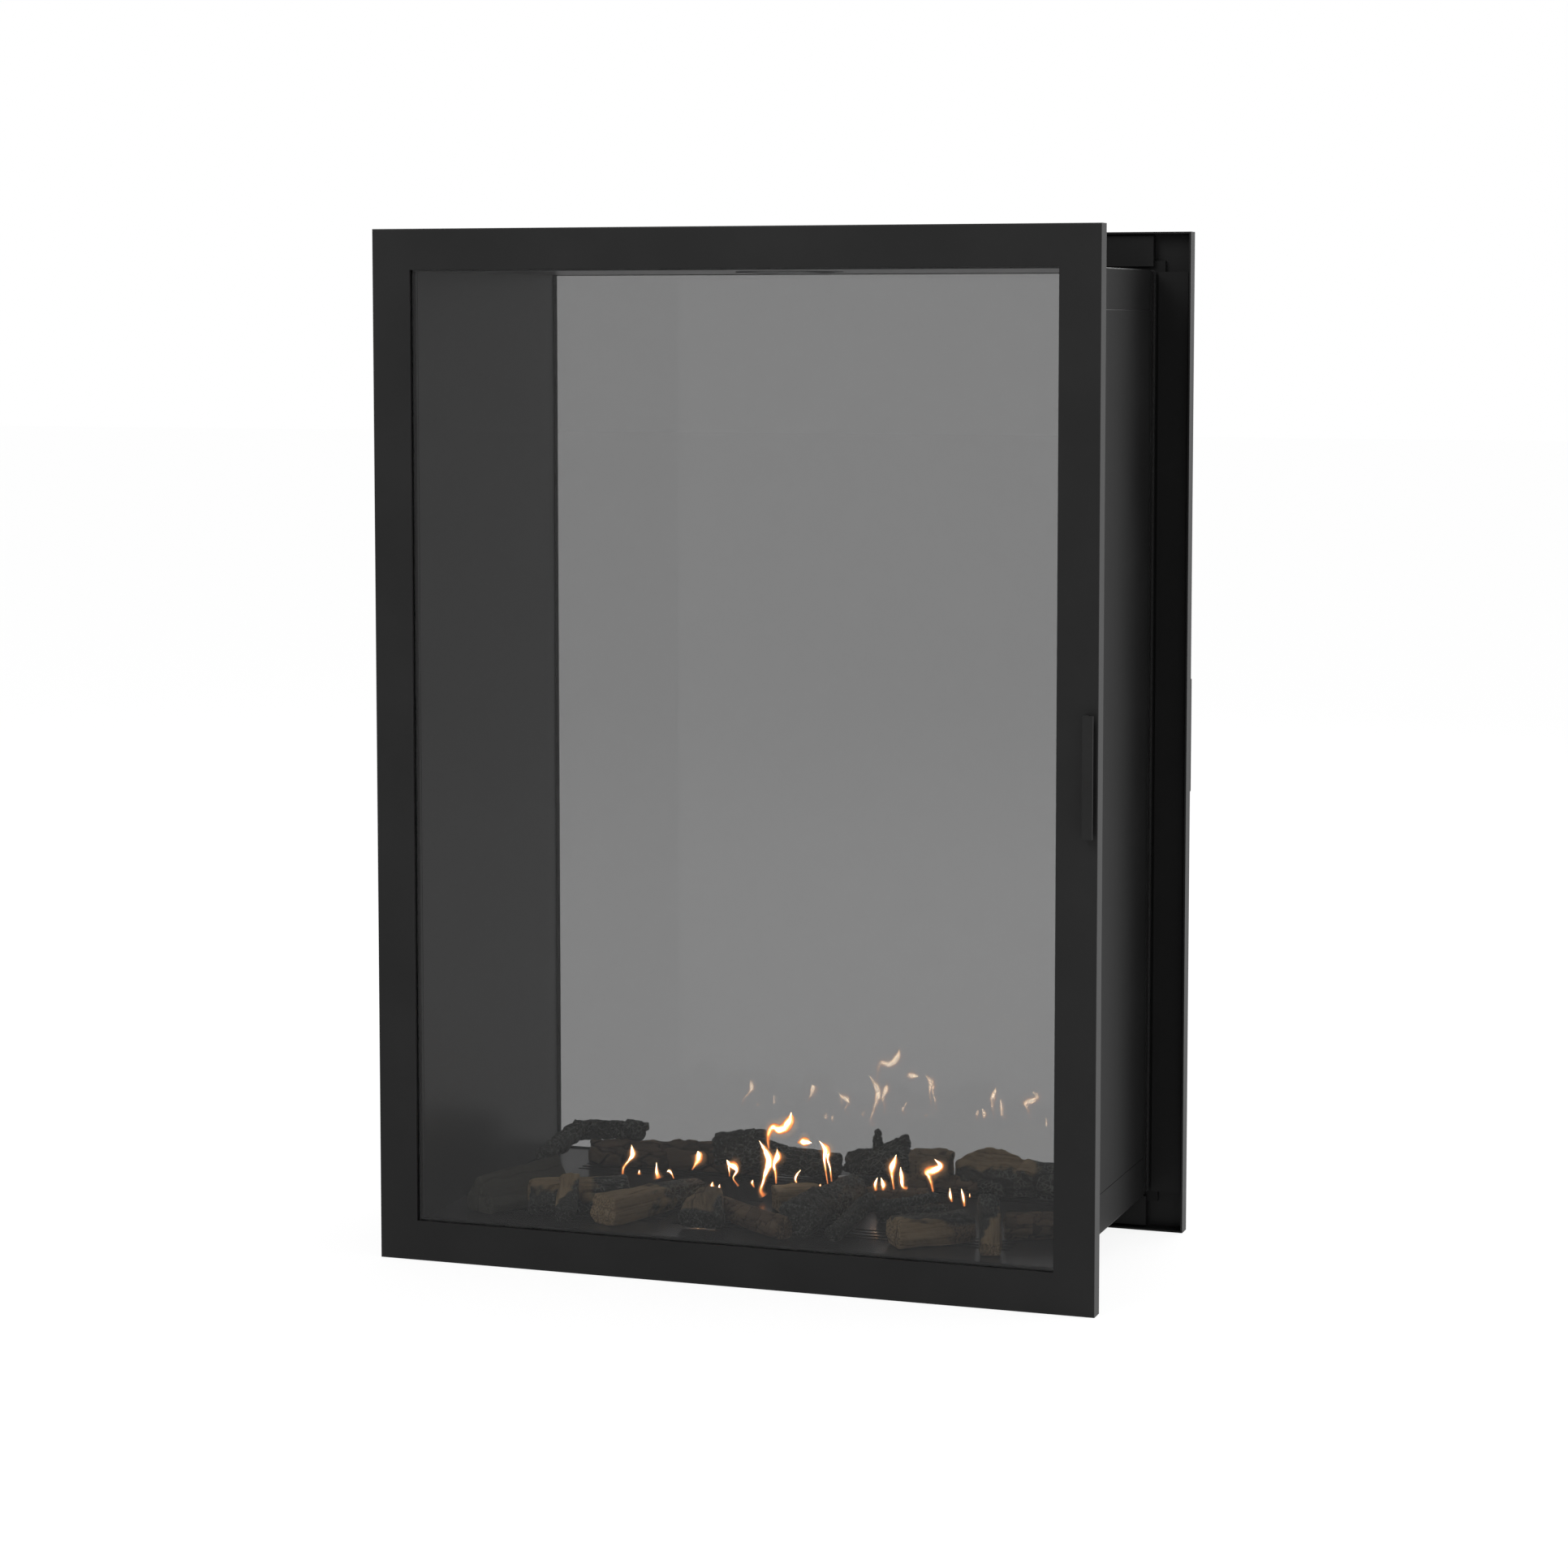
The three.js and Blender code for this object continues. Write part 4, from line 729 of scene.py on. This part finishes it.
for number, course in enumerate(FLAMES_SEEN.values()):
    for label, spread, material in (("flame", 1.0, flame_light), ("painted_glow", PAINTED_GLOW_SPREAD, flame_painted_glow)):
        made = flame(f"{label}_{number + 1}", course, spread)
        made.data.materials.append(material)
        made.visible_diffuse = False  # beside the studio's light, their own doesn't show on the logs
        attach(made, "firebox")

# Rope seals
# Black rope woven from glass yarn lies in a ring round each mouth of the lining, glued to its end.
# The pane presses on it. Its weave shows as a fine slanted check.

ROPE_GREY = 0.014
ROPE_TURN = (math.radians(30), math.radians(40), math.radians(30))
ROPE_WEAVE = 620  # yarns per metre

seal_rope, shader = new_material("seal_rope")
place = shader.node("ShaderNodeTexCoord").outputs["Object"]
slanted = shader.node("ShaderNodeMapping", Vector=place, Rotation=ROPE_TURN).outputs[0]
yarns = shader.node("ShaderNodeTexVoronoi", {"distance": "CHEBYCHEV"}, Vector=slanted, Scale=ROPE_WEAVE)
weave = yarns.outputs["Distance"]
bump = shader.node("ShaderNodeBump", {"invert": True}, Height=weave, Strength=0.9, Distance=0.0008)
woven = shader.node(
    "ShaderNodeBsdfPrincipled",
    Base_Color=shader.ramp(weave, (0.1, grey(ROPE_GREY * 1.5)), (0.6, grey(ROPE_GREY * 0.5))),
    Roughness=0.95,
    Normal=bump.outputs["Normal"],
)
shader.node("ShaderNodeOutputMaterial", Surface=woven.outputs[0])
finish_node(seal_rope, "front_rope_seal", "rear_rope_seal")

# Hinge brackets and magnetic catches
# Flat steel arms carry the leaves' pins, and a black block with a magnet inside holds each free corner.
# The arms and the flue collar are screwed down with pan-head screws that have a hexagon socket.

SCREW_SOCKET = 0.5  # across the socket's corners, against the head's width
SCREW_SINK = 0.6  # the socket's depth against the head's height
SCREW_SHOULDER = 0.28  # how much of the head's radius is rounded off
SCREW_SIDES = 24
SCREW_STEPS = 5  # rings in the rounded shoulder
BRACKET_SHEET = 0.003
BRACKET_LEG = 0.012  # from the arm's right edge to the middle of its leg
BRACKET_SCREWS = (0.012, 0.036)  # from the leg's end
BRACKET_HEAD = (0.0042, 0.0022)  # radius and height
COLLAR_SHEET = 0.001
COLLAR_SCREWS = 8
COLLAR_HEAD = (0.0033, 0.0017)
COLLAR_EDGE = 0.0065  # from the flange's edge to the screws


def screw(name, place, upward, head, body):
    """A pan head with rounded shoulders and a hexagon socket, seated on a face."""
    radius, height = head
    turn = Vector(upward).to_track_quat("Z", "Y").to_matrix()
    around = [2 * math.pi * i / SCREW_SIDES for i in range(SCREW_SIDES)]
    corners = [2 * math.pi * round(6 * i / SCREW_SIDES) / 6 for i in range(SCREW_SIDES)]
    rings = [(radius, 0, around)]
    for step in range(1, SCREW_STEPS + 1):
        angle = math.pi / 2 * step / SCREW_STEPS
        reach = radius * (1 - SCREW_SHOULDER + SCREW_SHOULDER * math.cos(angle))
        rings.append((reach, height * math.sin(angle), around))
    rings.append((radius * SCREW_SOCKET, height, corners))
    rings.append((radius * SCREW_SOCKET, height * (1 - SCREW_SINK), corners))
    vertices = [turn @ Vector((r * math.cos(a), r * math.sin(a), h)) for r, h, turns in rings for a in turns]
    last = (len(rings) - 1) * SCREW_SIDES
    faces = [tuple(range(SCREW_SIDES - 1, -1, -1)), tuple(range(last, last + SCREW_SIDES))]
    for start in range(0, last, SCREW_SIDES):
        for i in range(SCREW_SIDES):
            j = (i + 1) % SCREW_SIDES
            faces.append((start + i, start + j, start + j + SCREW_SIDES, start + i + SCREW_SIDES))
    made = mesh_object(name, [v + Vector(place) for v in vertices], faces)
    made.data.materials.append(screw_steel)
    made.data.shade_smooth()
    made.data.set_sharp_from_angle(angle=SMOOTH_ANGLE)
    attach(made, body)


screw_steel = plain_steel("screw_steel", STEEL, 0.3)
bracket_zinc = plain_steel("bracket_zinc", STEEL, 0.4)
for side, outward in (("front", -1), ("rear", 1)):
    finish_node(casing_coat, f"{side}_magnetic_catch")
    for place, upward in (("top", 1), ("bottom", -1)):
        bracket = f"{side}_hinge_bracket_{place}"
        finish_node(bracket_zinc, bracket)
        low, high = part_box(bracket)
        face = low.z + BRACKET_SHEET if upward > 0 else high.z - BRACKET_SHEET
        leg_end = min(abs(low.y), abs(high.y))
        for number, step in enumerate(BRACKET_SCREWS):
            seat = (high.x - BRACKET_LEG, outward * (leg_end + step), face)
            screw(f"{bracket}_screw_{number + 1}", seat, (0, 0, upward), BRACKET_HEAD, "firebox")

low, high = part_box("flue_collar")
for number in range(COLLAR_SCREWS):
    angle = 2 * math.pi * (number + 0.5) / COLLAR_SCREWS
    reach = high.x - COLLAR_EDGE
    seat = (reach * math.cos(angle), reach * math.sin(angle), low.z + COLLAR_SHEET)
    screw(f"flue_collar_screw_{number + 1}", seat, (0, 0, 1), COLLAR_HEAD, "firebox")

# Leaves
# Each leaf is a welded and ground steel pan, in a fine matt black powder coat. Four rabbeted bars
# hold the tinted pane behind it, and a folded angle is welded on as its handle. Where the frame
# covers the glass, a black border is baked on.

FRAME_GREY = 0.018
# The glazing bars' grey is darker than the frame's: painted shade, for the bars that sit deep in the pan
# behind its face.
BAR_SHADED_GREY = 0.012
HANDLE_GREY = 0.024
BORDER_GREY = 0.012
PANE_TINT = 0.45
PANE_MIRRORS = {"front": 1.30, "rear": 1.5}  # refractive indices, set against the photo
leaf_coat = powder_coat("leaf_coat", FRAME_GREY, 0.4, sheen=1.2)
# The bars' coat: the frame's black coat, made darker as painted shade.
shaded_bar_coat = powder_coat("shaded_bar_coat", BAR_SHADED_GREY, 0.5, sheen=1.22)
handle_coat = powder_coat("handle_coat", HANDLE_GREY, 0.55, sheen=1.14)

for side, mirror in PANE_MIRRORS.items():
    pane_glass, shader = new_material(f"{side}_pane_glass")
    clear = shader.node(
        "ShaderNodeBsdfPrincipled",
        Base_Color=grey(PANE_TINT),
        Roughness=0.0,
        IOR=mirror,
        Transmission_Weight=1.0,
    )
    printed = shader.node("ShaderNodeBsdfPrincipled", Base_Color=grey(BORDER_GREY), Roughness=0.5, IOR=1.2)
    parts = shader.node("ShaderNodeSeparateXYZ", Vector=shader.node("ShaderNodeTexCoord").outputs["Object"])
    seen = 1.0
    for axis, place, bar in ((0, "X", "bottom"), (2, "Z", "left")):  # these bars are as long as the window
        low, high = (corner[axis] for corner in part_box(f"{side}_glazing_bar_{bar}"))
        above = shader.maths("GREATER_THAN", parts.outputs[place], low)
        below = shader.maths("LESS_THAN", parts.outputs[place], high)
        seen = shader.maths("MULTIPLY", seen, shader.maths("MULTIPLY", above, below))
    body = shader.blend("ShaderNodeMixShader", seen, printed, clear)
    shader.node("ShaderNodeOutputMaterial", Surface=body.outputs[0])
    finish_node(pane_glass, f"{side}_pane")
    finish_node(leaf_coat, f"{side}_leaf_frame")
    finish_node(handle_coat, f"{side}_handle")
    finish_node(shaded_bar_coat, *[f"{side}_glazing_bar_{place}" for place in ("top", "bottom", "left", "right")])
